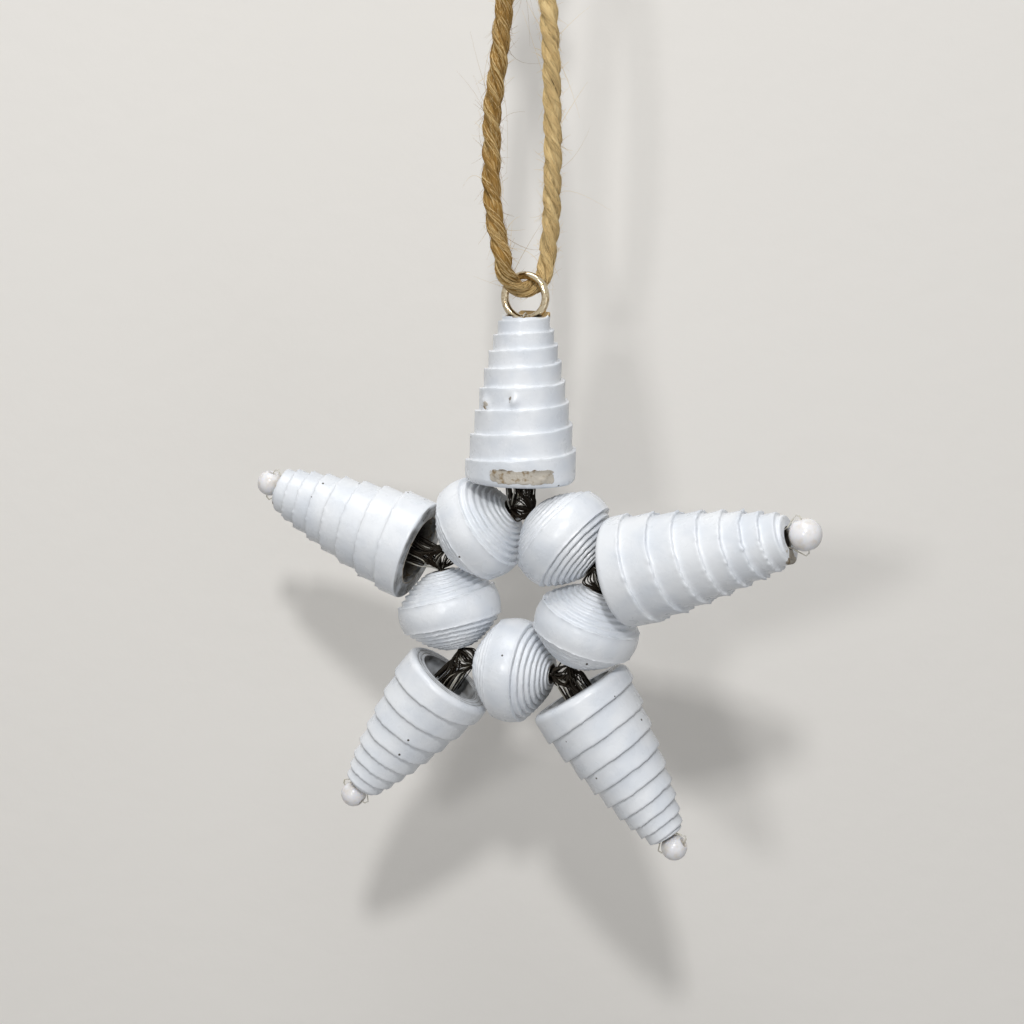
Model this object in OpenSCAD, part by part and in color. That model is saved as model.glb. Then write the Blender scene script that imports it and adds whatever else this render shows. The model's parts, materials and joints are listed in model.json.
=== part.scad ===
// Star ornament of rolled card strips, strung on clear line and hung from a loop of twine.
// The star faces -Y and +Z is up. The origin is inside the top of the twine loop, where a hook holds it.

/* [Card] */
// Thickness of a cone's painted card strip, which is one step of its roll
card_t = 0.66; // [0.56:0.02:0.76]
// Thickness of a round bead's painted card strip
bead_card_t = 0.8; // [0.6:0.02:0.9]
// Straight sides in one turn of a cone
cone_sides = 24; // [16:1:36]
// Straight sides in one turn of a round bead
bead_sides = 16; // [14:1:30]

/* [Cones] */
// Length of a middling cone from base to tip
cone_len = 26; // [20:0.5:32]
// Diameter of a middling cone at its base
cone_base_d = 17.6; // [15:0.2:19]
// Diameter of a middling cone at its tip
cone_tip_d = 6.9; // [6.5:0.1:8]
// Height of the last turn, round the base
cone_hem = 2; // [1:0.5:6]
// Width of a cone's flat base round its hollow
base_wall = 3; // [2.4:0.1:3.6]
// Depth of the hollow, down to the hole
hollow_depth = 9; // [6:0.5:12]
// Diameter of the hole along a cone
cone_bore_d = 3.6; // [3:0.1:3.8]
// Diameter of the hole along the top cone, wide enough for the ring
top_bore_d = 6; // [5:0.1:6.2]

/* [Round beads] */
// Diameter of a round bead
bead_d = 17; // [14:0.2:20]
// Length of a round bead along its hole
bead_len = 12.6; // [10:0.2:15]
// Diameter of a round bead's flat ends
bead_end_d = 4.6; // [4.6:0.1:6.4]
// Width of the last turn, round the middle
bead_rim = 3.6; // [2:0.2:5]
// Diameter of the hole along a round bead
bead_bore_d = 2.6; // [1.6:0.1:3]

/* [Tip beads] */
// Diameter of a middling bead at a ray's tip
tip_bead_d = 4.8; // [4.2:0.1:6]
// Diameter of the hole across a tip bead
tip_bore_d = 1.4; // [1.2:0.1:1.8]

/* [Ring] */
// Outer diameter of the wire ring
ring_d = 8; // [7.6:0.1:9.4]
// Diameter of the ring's wire
ring_wire_d = 1.25; // [0.8:0.05:1.6]
// Turn of the hanging star to the right, because its right side is the heavier
star_tilt = 3; // [0:0.5:5]

/* [Line and twine] */
// Diameter of the stringing line
line_d = 0.5; // [0.3:0.05:0.6]
// Turns of line in the knot
knot_turns = 3; // [2:1:3]
// Diameter of the twine
twine_d = 2.5; // [1.6:0.1:2.6]
// Turns of twine in the knot that closes the loop
twine_wraps = 3; // [2:1:5]
// Length of each loose end of twine above the knot
twine_tail = 8; // [4:1:20]

/* [Clearances] */
// Gap between two round beads
bead_gap = 0.3; // [0.2:0.05:0.6]
// Gap between a cone's base and the beads that it sits on
seat_gap = 0.3; // [0.2:0.05:0.6]
// Gap between the ring and the mouth of the top cone
ring_gap = 0.15; // [0.1:0.05:0.3]
// Gap between the line and what it bends round
line_gap = 0.1; // [0.06:0.02:0.16]
// Gap between the twine and the ring
twine_gap = 0.2; // [0.1:0.05:0.4]

/* [Hidden] */
$fn = 48;

// Each cone against a middling one, from the top ray anticlockwise as seen from the front
len_share = [1, 1, 0.92, 1.04, 1.08];
base_share = [1.03, 0.98, 0.932, 1.007, 1.023];
tip_share = [1.14, 1.01, 0.89, 0.89, 1.12];
tip_bead_share = [1, 0.86, 0.86, 0.86, 1.04];
// Degrees that each cone leans towards the front, and turns anticlockwise from its even place
ray_lean = [0, 3, 7, -3, 4];
ray_turn = [1.5, 0.5, 0.8, 0, 0.5];

// Middle of the twine, down the left strand, through the ring and up the right strand
twine_route = [
  [-1.4, 0, 2], [-1.4, 0, 0], [-2, -0.3, -6], [-2.6, -0.6, -11.5], [-3, -0.8, -16.5], [-3.4, -1.1, -21],
  [-3.8, -1.4, -25.5], [-4.6, -2, -33], [-4.5, -2.5, -39], [-4.4, -3, -44.3], [-3.6, -3.5, -49.6],
  [-2.8, -3.9, -52.7], [-2.15, -4.1, -54.9], [-1.95, -3.86, -57], [-1.65, -3.28, -58.2],
  [-1.2, -2.36, -59.2], [-0.6, -1.2, -59.8], [0, 0, -60], [0.6, 1.2, -59.8], [1.2, 2.36, -59.2],
  [1.65, 3.28, -58.2], [1.95, 3.86, -57], [2.15, 4.1, -54.9], [2.5, 4, -52.6], [2.95, 3.6, -49.6],
  [3.35, 2.9, -44.3], [3.75, 2.2, -39.2], [3.85, 1.5, -33], [3.9, 0.9, -25.5], [3.7, 0.7, -21],
  [3.45, 0.5, -16.6], [2.9, 0.35, -11.5], [2.2, 0.2, -6], [1.4, 0, 0], [1.4, 0, 2]
];
// A level direction that no stretch of the twine follows
twine_side = [0.85, -0.5, 0];
twine_faces = 8;
line_faces = 6;

// How far the line runs straight out of a bead and into a cone, and how strongly it bends between them
lead = 0.4;
bend_pull = 1.4;
bend_rings = 4;
// Degrees round a tip bead at which the line turns towards its hole
hole_turn = 70;
// Degrees between the line's rings where it goes over the hanging ring
wire_turn = 45;
// The line's knot is on its way from the left bead to this ray, and starts at this share of the bend
knot_ray = 2;
knot_start = 0.25;
knot_rings = 8;
// Degrees that the twine's loose ends stand apart from upright
tail_splay = 14;
// Points along a round bead's side, and degrees between points round it, at which clearances are worked out
side_steps = 24;
round_step = 6;
// Share of a bore that is left open along a roll for the round bore to be cut from
pilot_share = 0.6;

rays = 5;
ray_step = 360 / rays;
half_step = ray_step / 2;
line_r = line_d / 2;
wire_r = ring_wire_d / 2;
bead_r = bead_d / 2;
bead_end_r = bead_end_d / 2;

function sq(x) = x * x;
function unit(v) = v / norm(v);

// How far a strip's straight slanted edge has fallen at one radius of a roll, as a share of its whole fall
function fallen(r, top_r, foot_r) = (sq(r) - sq(top_r)) / (sq(foot_r) - sq(top_r));

// Half the width of the card at one radius of a round bead
function bead_edge(r) = bead_len / 2 - (bead_len - bead_rim) / 2 * fallen(r, bead_end_r, bead_r);

// Radii from a round bead's end to its middle
bead_samples = [for (i = [0:side_steps]) bead_end_r + (bead_r - bead_end_r) * i / side_steps];

// Radius of the ring of round beads, at which neighbours just clear each other
bead_ring_r = max([for (r = bead_samples) r + bead_edge(r) / tan(half_step)])
  + bead_gap / 2 / sin(half_step);

// A point of the bead beside a ray, in the frame of that ray's even place:
// across the ray, front to back, and along the ray
function beside(r, along, around) = [
  sin(half_step) * (bead_ring_r + r * cos(around)) + cos(half_step) * along,
  r * sin(around),
  cos(half_step) * (bead_ring_r + r * cos(around)) - sin(half_step) * along
];

function base_r(k) = cone_base_d * base_share[k] / 2;
function tip_r(k) = cone_tip_d * tip_share[k] / 2;
function ray_len(k) = cone_len * len_share[k];
function bore_r(k) = (k == 0 ? top_bore_d : cone_bore_d) / 2;

// Distance of a cone's base from the star's middle, where it rests on its two beads
function ray_way(k) = [
  -sin(ray_turn[k]) * cos(ray_lean[k]), -sin(ray_lean[k]), cos(ray_turn[k]) * cos(ray_lean[k])
];
function seat(k) = seat_gap + max([
  for (r = bead_samples, end = [-1, 1], side = [-1, 1], around = [-90:round_step:90])
    let (p = beside(r, end * bead_edge(r), around))
    let (reach = [side * p.x, p.y, p.z] * ray_way(k))
    sq(norm(p)) - sq(reach) < sq(base_r(k) + seat_gap) ? reach : 0
]);
ray_seat = [for (k = [0:rays - 1]) seat(k)];
function tip_at(k) = ray_seat[k] + ray_len(k);

// The ring hangs on the twine's bend, and its lower wire sinks into the top cone's mouth
ring_r = (ring_d - ring_wire_d) / 2;
ring_chord = top_bore_d / 2 - ring_gap - ring_r * sin(abs(star_tilt - ray_turn[0]));
ring_above = sqrt(sq(ring_d / 2) - sq(ring_chord));
bend_z = min([for (p = twine_route) p.z]);
ring_z = bend_z + twine_d / 2 + twine_gap + wire_r - ring_r;
pivot_z = ring_z - ring_r;
pivot_at = tip_at(0) + ring_above - ring_r;

// A tip bead rides clear of the cone's mouth by the line that passes beside it
function tip_bead_r(k) = tip_bead_d * tip_bead_share[k] / 2;
function tip_bead_at(k) = tip_at(k)
  + sqrt(sq(tip_bead_r(k) + line_d + 2 * line_gap) - sq(bore_r(k)));

// From a frame that is turned by k rays, and leans to the front, to the star's frame
function from_frame(k, lean, p) =
  let (y = p.y * cos(lean) - p.z * sin(lean))
  let (z = p.y * sin(lean) + p.z * cos(lean))
  let (turn = -ray_step * k)
  [p.x * cos(turn) + z * sin(turn), y, z * cos(turn) - p.x * sin(turn)];
function from_ray(k, p) = from_frame(k + ray_turn[k] / ray_step, ray_lean[k], p);
function from_bead(k, p) = from_frame(k + 0.5, 0, p);

module star_place() {
  translate([0, 0, pivot_z]) rotate([0, star_tilt, 0]) translate(-from_ray(0, [0, 0, pivot_at])) children();
}
module ray_place(k) {
  star_place() rotate([0, -ray_step * k - ray_turn[k], 0]) rotate([ray_lean[k], 0, 0]) children();
}
module bead_place(k) {
  star_place() rotate([0, -ray_step * (k + 0.5), 0])
    translate([0, 0, bead_ring_r]) rotate([0, 90, 0]) children();
}

// A strip of card with one straight and one slanted edge, rolled from its wide end.
// The straight edge makes the flat foot, and the slanted edge climbs to the right as a spiral ledge.
// Points are numbered along the spiral, so one turn on is the same number plus the sides.
module roll(top_r, foot_r, height, hem, card, sides, bore) {
  last = round(sides * (foot_r - top_r) / card);
  hem_start = last - sides;
  function turn_r(i) = top_r + (foot_r - top_r) * i / last;
  function edge(i) = height - (height - hem) * fallen(turn_r(i), top_r, foot_r);
  function at(r, i, z) = [r * cos(360 * i / sides), r * sin(360 * i / sides), z];
  function inner(i) = i;
  function outer(i) = last + 1 + i;
  function mouth(i) = i == 0 ? inner(0) : i == sides ? outer(0) : 2 * last + 1 + i;
  function foot(i) = 2 * last + 1 + sides + i - hem_start;
  function mouth_hole(i) = 2 * last + 2 + 2 * sides + i % sides;
  function foot_hole(i) = 2 * last + 2 + 3 * sides + i % sides;
  ledge = concat(
    [for (i = [0:last - 1]) [outer(i), inner(i), inner(i + 1)]],
    [for (i = [0:last - 1]) [outer(i), inner(i + 1), outer(i + 1)]]
  );
  side = concat(
    [[mouth(0), mouth(1), inner(1)]],
    [for (i = [1:sides - 1]) [mouth(i), mouth(i + 1), inner(i + 1), inner(i)]],
    [for (i = [0:hem_start - 1]) [outer(i), outer(i + 1), inner(i + 1 + sides), inner(i + sides)]]
  );
  hem_side = concat(
    [[outer(hem_start), outer(hem_start + 1), inner(last)]],
    [[inner(last), outer(hem_start + 1), foot(hem_start + 1)]],
    [[inner(last), foot(hem_start + 1), foot(hem_start)]],
    [for (i = [hem_start + 1:last - 1]) [outer(i), outer(i + 1), foot(i + 1), foot(i)]],
    [[outer(last), inner(last), foot(hem_start), foot(last)]]
  );
  mouth_face = concat(
    [for (i = [0:sides - 1]) [mouth(i + 1), mouth(i), mouth_hole(i)]],
    [for (i = [1:sides - 1]) [mouth(i), mouth_hole(i - 1), mouth_hole(i)]],
    [[mouth(0), mouth(sides), mouth_hole(sides - 1)]],
    [[mouth(0), mouth_hole(sides - 1), mouth_hole(0)]]
  );
  foot_face = concat(
    [for (i = [hem_start:last - 1]) [foot(i), foot(i + 1), foot_hole(i)]],
    [for (i = [hem_start + 1:last - 1]) [foot(i), foot_hole(i), foot_hole(i - 1)]],
    [[foot(last), foot(hem_start), foot_hole(last - 1)]],
    [[foot(hem_start), foot_hole(hem_start), foot_hole(last - 1)]]
  );
  hole_side = [
    for (i = [0:sides - 1]) [mouth_hole(i), mouth_hole(i + 1), foot_hole(i + 1), foot_hole(i)]
  ];
  polyhedron(
    points = concat(
      [for (i = [0:last]) at(turn_r(i - sides), i, edge(i))],
      [for (i = [0:last]) at(turn_r(i), i, edge(i))],
      [for (i = [1:sides - 1]) at(turn_r(i - sides), i, height)],
      [for (i = [hem_start:last]) at(turn_r(i), i, 0)],
      [for (i = [0:sides - 1]) at(pilot_share * bore, i + 0.5, height)],
      [for (i = [0:sides - 1]) at(pilot_share * bore, i + 0.5, 0)]
    ),
    faces = concat(ledge, side, hem_side, mouth_face, foot_face, hole_side)
  );
}

// A round tube along a route. Each side vector says which way a ring's first corner points.
module tube(route, sides, r, faces, closed) {
  count = len(route);
  function ahead(i) = closed ? route[(i + 1) % count] : route[min(i + 1, count - 1)];
  function behind(i) = closed ? route[(i + count - 1) % count] : route[max(i - 1, 0)];
  function way(a, b) = a == b ? [0, 0, 0] : unit(b - a);
  function along(i) = unit(way(behind(i), route[i]) + way(route[i], ahead(i)));
  function ring(i) =
    let (t = along(i))
    let (a = unit(sides[i] - (sides[i] * t) * t))
    let (b = cross(t, a))
    [for (j = [0:faces - 1]) route[i] + r * (a * cos(360 * j / faces) + b * sin(360 * j / faces))];
  function corner(i, j) = (i % count) * faces + j % faces;
  polyhedron(
    points = [for (i = [0:count - 1]) each ring(i)],
    faces = concat(
      [for (i = [0:count - (closed ? 1 : 2)], j = [0:faces - 1])
        [corner(i, j), corner(i + 1, j), corner(i + 1, j + 1)]],
      [for (i = [0:count - (closed ? 1 : 2)], j = [0:faces - 1])
        [corner(i, j), corner(i + 1, j + 1), corner(i, j + 1)]],
      closed ? [] : [
        [for (j = [0:faces - 1]) corner(0, j)],
        [for (j = [faces - 1:-1:0]) corner(count - 1, j)]
      ]
    )
  );
}

module cone(k) {
  color("ghostwhite") ray_place(k) translate([0, 0, ray_seat[k]]) difference() {
    mirror([0, 1, 0]) roll(tip_r(k), base_r(k), ray_len(k), cone_hem, card_t, cone_sides, bore_r(k));
    cylinder(r = bore_r(k), h = 3 * ray_len(k), center = true);
    hollow(base_r(k) - base_wall, bore_r(k));
  }
}

// The hollow that is left in a cone's base where its turns were pushed out, open below the base
module hollow(mouth_r, bore) {
  slope = (mouth_r - bore) / hollow_depth;
  translate([0, 0, -hollow_depth])
    cylinder(r1 = mouth_r + slope * hollow_depth, r2 = bore, h = 2 * hollow_depth);
}

module half_bead() {
  mirror([0, 1, 0])
    roll(bead_end_r, bead_r, bead_len / 2, bead_rim / 2, bead_card_t, bead_sides, bead_bore_d / 2);
}

module round_bead(k) {
  color("white") bead_place(k) difference() {
    union() {
      half_bead();
      mirror([0, 0, 1]) half_bead();
    }
    cylinder(d = bead_bore_d, h = 2 * bead_len, center = true);
  }
}

module tip_bead(k) {
  color("whitesmoke") ray_place(k) translate([0, 0, tip_bead_at(k)]) rotate([0, 90, 0]) difference() {
    sphere(r = tip_bead_r(k));
    cylinder(d = tip_bore_d, h = 2 * tip_bead_d, center = true);
  }
}

module hanging_ring() {
  color("gold") translate([0, 0, ring_z]) rotate([90, 0, 0])
    rotate_extrude() translate([ring_r, 0]) circle(d = ring_wire_d);
}

// Where the line runs inside a cone, either side of the middle
strand_at = cone_bore_d / 4;

function bend(a, b, c, d, t) =
  pow(1 - t, 3) * a + 3 * sq(1 - t) * t * b + 3 * (1 - t) * sq(t) * c + pow(t, 3) * d;

// A point of the bend between a bead's hole and a cone's, from the bead on the given side of the ray
function bend_point(k, side, into, t) =
  let (bead = side > 0 ? k - 1 : k)
  let (out = -side * (bead_len / 2 + lead))
  let (mouth = ray_seat[k] + lead)
  bend(
    from_bead(bead, [out, 0, bead_ring_r]),
    from_bead(bead, [out - side * bend_pull, 0, bead_ring_r]),
    from_ray(k, [into.x, into.y, mouth - bend_pull]),
    from_ray(k, [into.x, into.y, mouth]),
    t
  );
function bead_to_ray(k, side, into) = [
  for (i = [0:bend_rings]) bend_point(k, side, into, i / bend_rings)
];

// One side of the turn through a tip bead: up the cone, past its mouth, round the bead and into its hole
function tip_turn(k) =
  let (r = tip_bead_r(k))
  let (past = r + line_r + line_gap)
  let (low = acos((tip_bead_at(k) - tip_at(k)) / (r + line_d + 2 * line_gap)))
  let (lip = tip_bore_d / 2)
  [
    [strand_at, tip_at(k) - cone_bore_d / 2 - tip_bead_at(k)],
    [past * sin(low), -past * cos(low)],
    [past * sin((low + hole_turn) / 2), -past * cos((low + hole_turn) / 2)],
    [past + line_r, -lip],
    [past, -lip / 4],
    [r - line_r, 0]
  ];

function ray_route(k) =
  let (turn = tip_turn(k))
  concat(
    bead_to_ray(k, 1, [strand_at, 0]),
    [for (i = [0:len(turn) - 1]) from_ray(k, [turn[i].x, 0, tip_bead_at(k) + turn[i].y])],
    [for (i = [len(turn) - 1:-1:0]) from_ray(k, [-turn[i].x, 0, tip_bead_at(k) + turn[i].y])],
    [for (i = [bend_rings:-1:0]) bead_to_ray(k, -1, [-strand_at, 0])[i]]
  );

// In the top cone the line goes over the ring's lower wire, from back to front
over_wire = wire_r + line_r + line_gap;
top_route = concat(
  bead_to_ray(0, 1, [0, over_wire]),
  [for (a = [0:wire_turn:180]) from_ray(0, [0, over_wire * cos(a), pivot_at + over_wire * sin(a)])],
  [for (i = [bend_rings:-1:0]) bead_to_ray(0, -1, [0, -over_wire])[i]]
);
line_route = concat(top_route, [for (k = [1:rays - 1]) each ray_route(k)]);
top_end = len(top_route) - 1;
line_sides = [
  for (i = [0:len(line_route) - 1])
    let (swing = i > top_end ? 0 : min(i, top_end - i, bend_rings) / bend_rings * 90)
    [sin(swing), cos(swing), 0]
];

module stringing_line() {
  color("lightgray") star_place() tube(line_route, line_sides, line_r, line_faces, true);
}

// The knot winds round the line's bend from the left bead to the lower left cone
knot_r = line_d + line_gap;
knot_pitch = line_d + 2 * line_gap;
function on_bend(t) = bend_point(knot_ray, 1, [strand_at, 0], t);
knot_span = knot_turns * knot_pitch / norm(on_bend(1) - on_bend(0));

module line_knot() {
  last = knot_turns * knot_rings;
  ways = [
    for (i = [0:last])
      let (t = knot_start + knot_span * i / last)
      unit(on_bend(t + knot_span / last) - on_bend(t - knot_span / last))
  ];
  coil = [
    for (i = [0:last])
      let (a = 360 * i / knot_rings)
      let (across = cross(ways[i], [0, 1, 0]))
      on_bend(knot_start + knot_span * i / last)
        + knot_r * (cos(a) * unit(across) + sin(a) * unit(cross(across, ways[i])))
  ];
  color("tan") star_place() tube(coil, ways, line_r, line_faces, false);
}

module twine_loop() {
  color("burlywood") tube(twine_route, [for (p = twine_route) twine_side], twine_d / 2, twine_faces, false);
}

// The knot's turns lie round both strands, and the two loose ends stand out of its top
knot_foot = twine_route[0].z;
strands_r = norm([twine_route[0].x, twine_route[0].y]) + twine_d / 2;

module twine_knot() {
  color("peru") translate([0, 0, knot_foot]) {
    for (i = [0:twine_wraps - 1])
      translate([0, 0, (i + 0.5) * twine_d]) rotate_extrude()
        translate([strands_r + twine_d / 4, 0]) circle(d = twine_d);
    cylinder(r = strands_r + twine_d / 4, h = twine_wraps * twine_d);
    for (side = [-1, 1])
      translate([side * twine_d / 2, 0, (twine_wraps - 1) * twine_d]) rotate([0, side * tail_splay, 0])
        cylinder(d = twine_d, h = twine_d + twine_tail);
  }
}

cone(0);  // ray_top
cone(1);  // ray_upper_left
cone(2);  // ray_lower_left
cone(3);  // ray_lower_right
cone(4);  // ray_upper_right
round_bead(0);  // bead_upper_left
round_bead(1);  // bead_left
round_bead(2);  // bead_bottom
round_bead(3);  // bead_right
round_bead(4);  // bead_upper_right
tip_bead(1);  // tip_bead_upper_left
tip_bead(2);  // tip_bead_lower_left
tip_bead(3);  // tip_bead_lower_right
tip_bead(4);  // tip_bead_upper_right
hanging_ring();
stringing_line();
line_knot();
twine_loop();
twine_knot();
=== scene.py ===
import json
import math
from functools import partial

import bpy
import numpy as np
from bpy.props import FloatProperty, FloatVectorProperty, IntProperty, PointerProperty
from mathutils import Matrix, Vector

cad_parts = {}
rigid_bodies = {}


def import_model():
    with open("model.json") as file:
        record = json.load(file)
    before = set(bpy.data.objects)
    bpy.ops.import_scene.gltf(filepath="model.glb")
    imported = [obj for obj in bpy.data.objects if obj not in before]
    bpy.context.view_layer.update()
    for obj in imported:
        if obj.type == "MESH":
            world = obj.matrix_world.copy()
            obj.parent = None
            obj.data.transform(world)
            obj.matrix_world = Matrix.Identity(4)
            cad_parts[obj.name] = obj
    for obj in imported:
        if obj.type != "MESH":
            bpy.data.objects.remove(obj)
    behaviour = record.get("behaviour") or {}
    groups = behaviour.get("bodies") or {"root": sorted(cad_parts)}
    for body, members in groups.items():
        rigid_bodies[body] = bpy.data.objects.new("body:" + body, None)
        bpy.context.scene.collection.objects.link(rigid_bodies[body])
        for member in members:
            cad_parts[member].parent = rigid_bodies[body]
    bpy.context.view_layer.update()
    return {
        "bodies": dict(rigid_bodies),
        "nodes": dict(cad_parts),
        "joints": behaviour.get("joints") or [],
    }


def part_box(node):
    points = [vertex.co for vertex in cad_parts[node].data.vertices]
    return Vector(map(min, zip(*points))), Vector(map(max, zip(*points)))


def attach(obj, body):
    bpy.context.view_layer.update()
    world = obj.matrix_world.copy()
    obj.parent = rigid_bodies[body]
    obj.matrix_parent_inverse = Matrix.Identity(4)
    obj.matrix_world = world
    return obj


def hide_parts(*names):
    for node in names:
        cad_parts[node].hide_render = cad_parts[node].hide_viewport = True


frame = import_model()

bl_info = {
    "name": "Rolled card star",
    "version": (1, 0, 0),
    "blender": (4, 5, 0),
    "location": "3D View > Sidebar > Star",
    "description": "Dresses a hanging star of rolled card with its paint, twine, ring and stage",
    "category": "Object",
}

MM = 0.001
FULL_TURN = 2 * math.pi
UP = Vector((0, 0, 1))
BACKWARD = Vector((0, 1, 0))

JOINTS = {joint["name"]: joint for joint in frame["joints"]}
RAYS = sorted(name for name in frame["bodies"] if name.startswith("ray_"))
BEADS = sorted(name for name in frame["bodies"] if name.startswith("bead_"))
TIP_BEADS = sorted(name for name in frame["bodies"] if name.startswith("tip_bead_"))
# No loose hair of the twine hangs lower than this, where the top cone swings
HAIR_FLOOR = JOINTS["ring_swing"]["pos_m"][2] - 2.2 * MM

# Starts of the random draws. Each cone and each round bead adds its own number
CONE_LUCK, BEAD_LUCK, TWINE_LUCK, LINE_LUCK = 100, 200, 31, 57

# Middle of the twine in millimetres, down the left strand, through the ring and up the right strand
TWINE_ROUTE = [
    (-1.4, 0, 2), (-1.4, 0, 0), (-2, -0.3, -6), (-2.6, -0.6, -11.5), (-3, -0.8, -16.5), (-3.4, -1.1, -21),
    (-3.8, -1.4, -25.5), (-4.6, -2, -33), (-4.5, -2.5, -39), (-4.4, -3, -44.3), (-3.6, -3.5, -49.6),
    (-2.8, -3.9, -52.7), (-2.15, -4.1, -54.9), (-1.95, -3.86, -57), (-1.65, -3.28, -58.2),
    (-1.2, -2.36, -59.2), (-0.6, -1.2, -59.8), (0, 0, -60), (0.6, 1.2, -59.8), (1.2, 2.36, -59.2),
    (1.65, 3.28, -58.2), (1.95, 3.86, -57), (2.15, 4.1, -54.9), (2.5, 4, -52.6), (2.95, 3.6, -49.6),
    (3.35, 2.9, -44.3), (3.75, 2.2, -39.2), (3.85, 1.5, -33), (3.9, 0.9, -25.5), (3.7, 0.7, -21),
    (3.45, 0.5, -16.6), (2.9, 0.35, -11.5), (2.2, 0.2, -6), (1.4, 0, 0), (1.4, 0, 2),
]

# How each cone is painted. In millimetres: the fillet of paint in a corner, the round of a rim, the open
# groove between turns, the round of the base's edge, the burr on a cut edge, how far the card is bare round
# the hollow and how far paint reaches into it. From 0 to 1: how far its grooves and its base are darkened
# with dirt and painted shade, and how bare its mouth is. In degrees: where round the mouth a flake of paint
# has come off.
CONE_FINISH = {
    "ray_top": {
        "fillet": 0.3, "rim": 0.12, "groove": 0.0, "base_round": 1.1, "burr": 0.12, "bare_rim": 0.5,
        "dirt_and_shade": 0.12, "base_dirt_and_shade": 0.2, "bare_mouth": 0.5, "flake": 90, "reach": 0.3,
    },
    "ray_upper_left": {
        "fillet": 0.42, "rim": 0.3, "groove": 0.0, "base_round": 0.5, "burr": 0.25, "bare_rim": 0.5,
        "dirt_and_shade": 0.05, "base_dirt_and_shade": 0.9, "bare_mouth": 0.5, "flake": -155, "reach": 0.1,
    },
    "ray_lower_left": {
        "fillet": 0.16, "rim": 0.28, "groove": 0.05, "base_round": 0.9, "burr": 0.1, "bare_rim": 0.0,
        "dirt_and_shade": 0.5, "base_dirt_and_shade": 0.1, "bare_mouth": 0.3, "flake": 90, "reach": 3.6,
    },
    "ray_lower_right": {
        "fillet": 0.14, "rim": 0.3, "groove": 0.06, "base_round": 1.1, "burr": 0.1, "bare_rim": 0.2,
        "dirt_and_shade": 0.65, "base_dirt_and_shade": 0.2, "bare_mouth": 0.3, "flake": 110, "reach": 2.4,
    },
    "ray_upper_right": {
        "fillet": 0.4, "rim": 0.24, "groove": 0.0, "base_round": 0.9, "burr": 0.36, "bare_rim": 0.4,
        "dirt_and_shade": 0.06, "base_dirt_and_shade": 0.2, "bare_mouth": 0.3, "flake": -12, "reach": 0.3,
    },
}
# The same for the two sides of each round bead, the side that its axis points to first
BEAD_FINISH = {
    "bead_upper_left": (
        {"fillet": 0.24, "groove": 0.04, "dirt_and_shade": 0.16}, {"fillet": 0.26, "groove": 0.03, "dirt_and_shade": 0.2},
    ),
    "bead_left": (
        {"fillet": 0.28, "groove": 0.02, "dirt_and_shade": 0.12}, {"fillet": 0.2, "groove": 0.05, "dirt_and_shade": 0.35},
    ),
    "bead_bottom": (
        {"fillet": 0.3, "groove": 0.02, "dirt_and_shade": 0.1}, {"fillet": 0.1, "groove": 0.09, "dirt_and_shade": 0.6},
    ),
    "bead_right": (
        {"fillet": 0.22, "groove": 0.04, "dirt_and_shade": 0.35}, {"fillet": 0.32, "groove": 0.01, "dirt_and_shade": 0.12},
    ),
    "bead_upper_right": (
        {"fillet": 0.12, "groove": 0.08, "dirt_and_shade": 0.55}, {"fillet": 0.32, "groove": 0.01, "dirt_and_shade": 0.08},
    ),
}
# Lumps of paint on the top cone, or pits where the rise is negative: degrees round it, then height, size and
# rise in millimetres
TOP_LUMPS = (
    (-81, 13.3, 0.75, 0.7), (-87, 13.5, 0.4, -0.6), (-128, 13.0, 0.7, 0.6), (-121, 12.4, 0.5, 0.4),
    (-131, 11.8, 0.45, 0.5), (-46, 1.5, 0.5, 0.4), (-41, 2.3, 0.45, 0.35),
)
# In the same way, with no rise: the bare bottom of the pit, a scab of bare card and a brown stain on the chip
TOP_PIT, TOP_SCAB, TOP_STAIN = (-87, 13.5, 0.4), (-125, 12.3, 0.9), (-98, 1.5, 0.8)
# The chip in the top cone's hem: where it starts and ends and how soft its ends are, in degrees round the
# cone and in metres up it, then its inner radius, its depth and the height above which its top edge gets a
# painted shadow line
CHIP_ROUND, CHIP_UP = (-112, -20, 24), (0.05 * MM, 3.6 * MM, 1.4 * MM)
CHIP_RADIUS, CHIP_DEPTH, CHIP_SHADOW = 7.2 * MM, 0.13 * MM, 2.5 * MM
# The lip of raw card at the back of the top cone's mouth: its ends in degrees, how far it stands up and the
# radius where it starts to, outside the ring's way
LIP_ROUND, LIP_RISE, LIP_RADIUS = (-12, 135, 14), 0.65 * MM, 3.42 * MM
# How far the rolls are out of round, as a share of their radius
CONE_OVAL, BEAD_OVAL = 0.007, 0.006
# A round bead's burr, its stray edges as a share of a cone's, the radius within which it is bare and the
# radius within which its hole is painted dark as shade
BEAD_BURR, BEAD_STRAY, BEAD_BARE, BEAD_SHADE = 0.12 * MM, 0.55, 1.9 * MM, 1.8 * MM
# Half the width of a flake at a cone's mouth and its soft edge in degrees, and how far down it reaches
FLAKE_HALF, FLAKE_SOFT, FLAKE_DROP = 42, 30, 1.3 * MM
# How far the ends of the turns stand in at a cone's base, and how far they stray in its hollow
TURN_LIFT, HOLLOW_STRAY = 0.07 * MM, 0.12 * MM
# Height up to which a cone's surface counts as its base, radius up to which it counts as its hole, and the
# distances at which points count as one level and as one point
BASE_LEVEL, HOLE_RADIUS, SAME_LEVEL, SAME_POINT = 0.3 * MM, 2.5 * MM, 0.01 * MM, 0.002 * MM

# What the jute's material needs to know at every point of the twine
FIBRE_VALUES = ("along", "around", "depth", "pale_shift")
# Radius of a ply as a share of the twine's diameter, and the length in which a ply's thickness changes
PLY_SHARE, PLY_CHANGE = 0.285, 4 * MM
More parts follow.
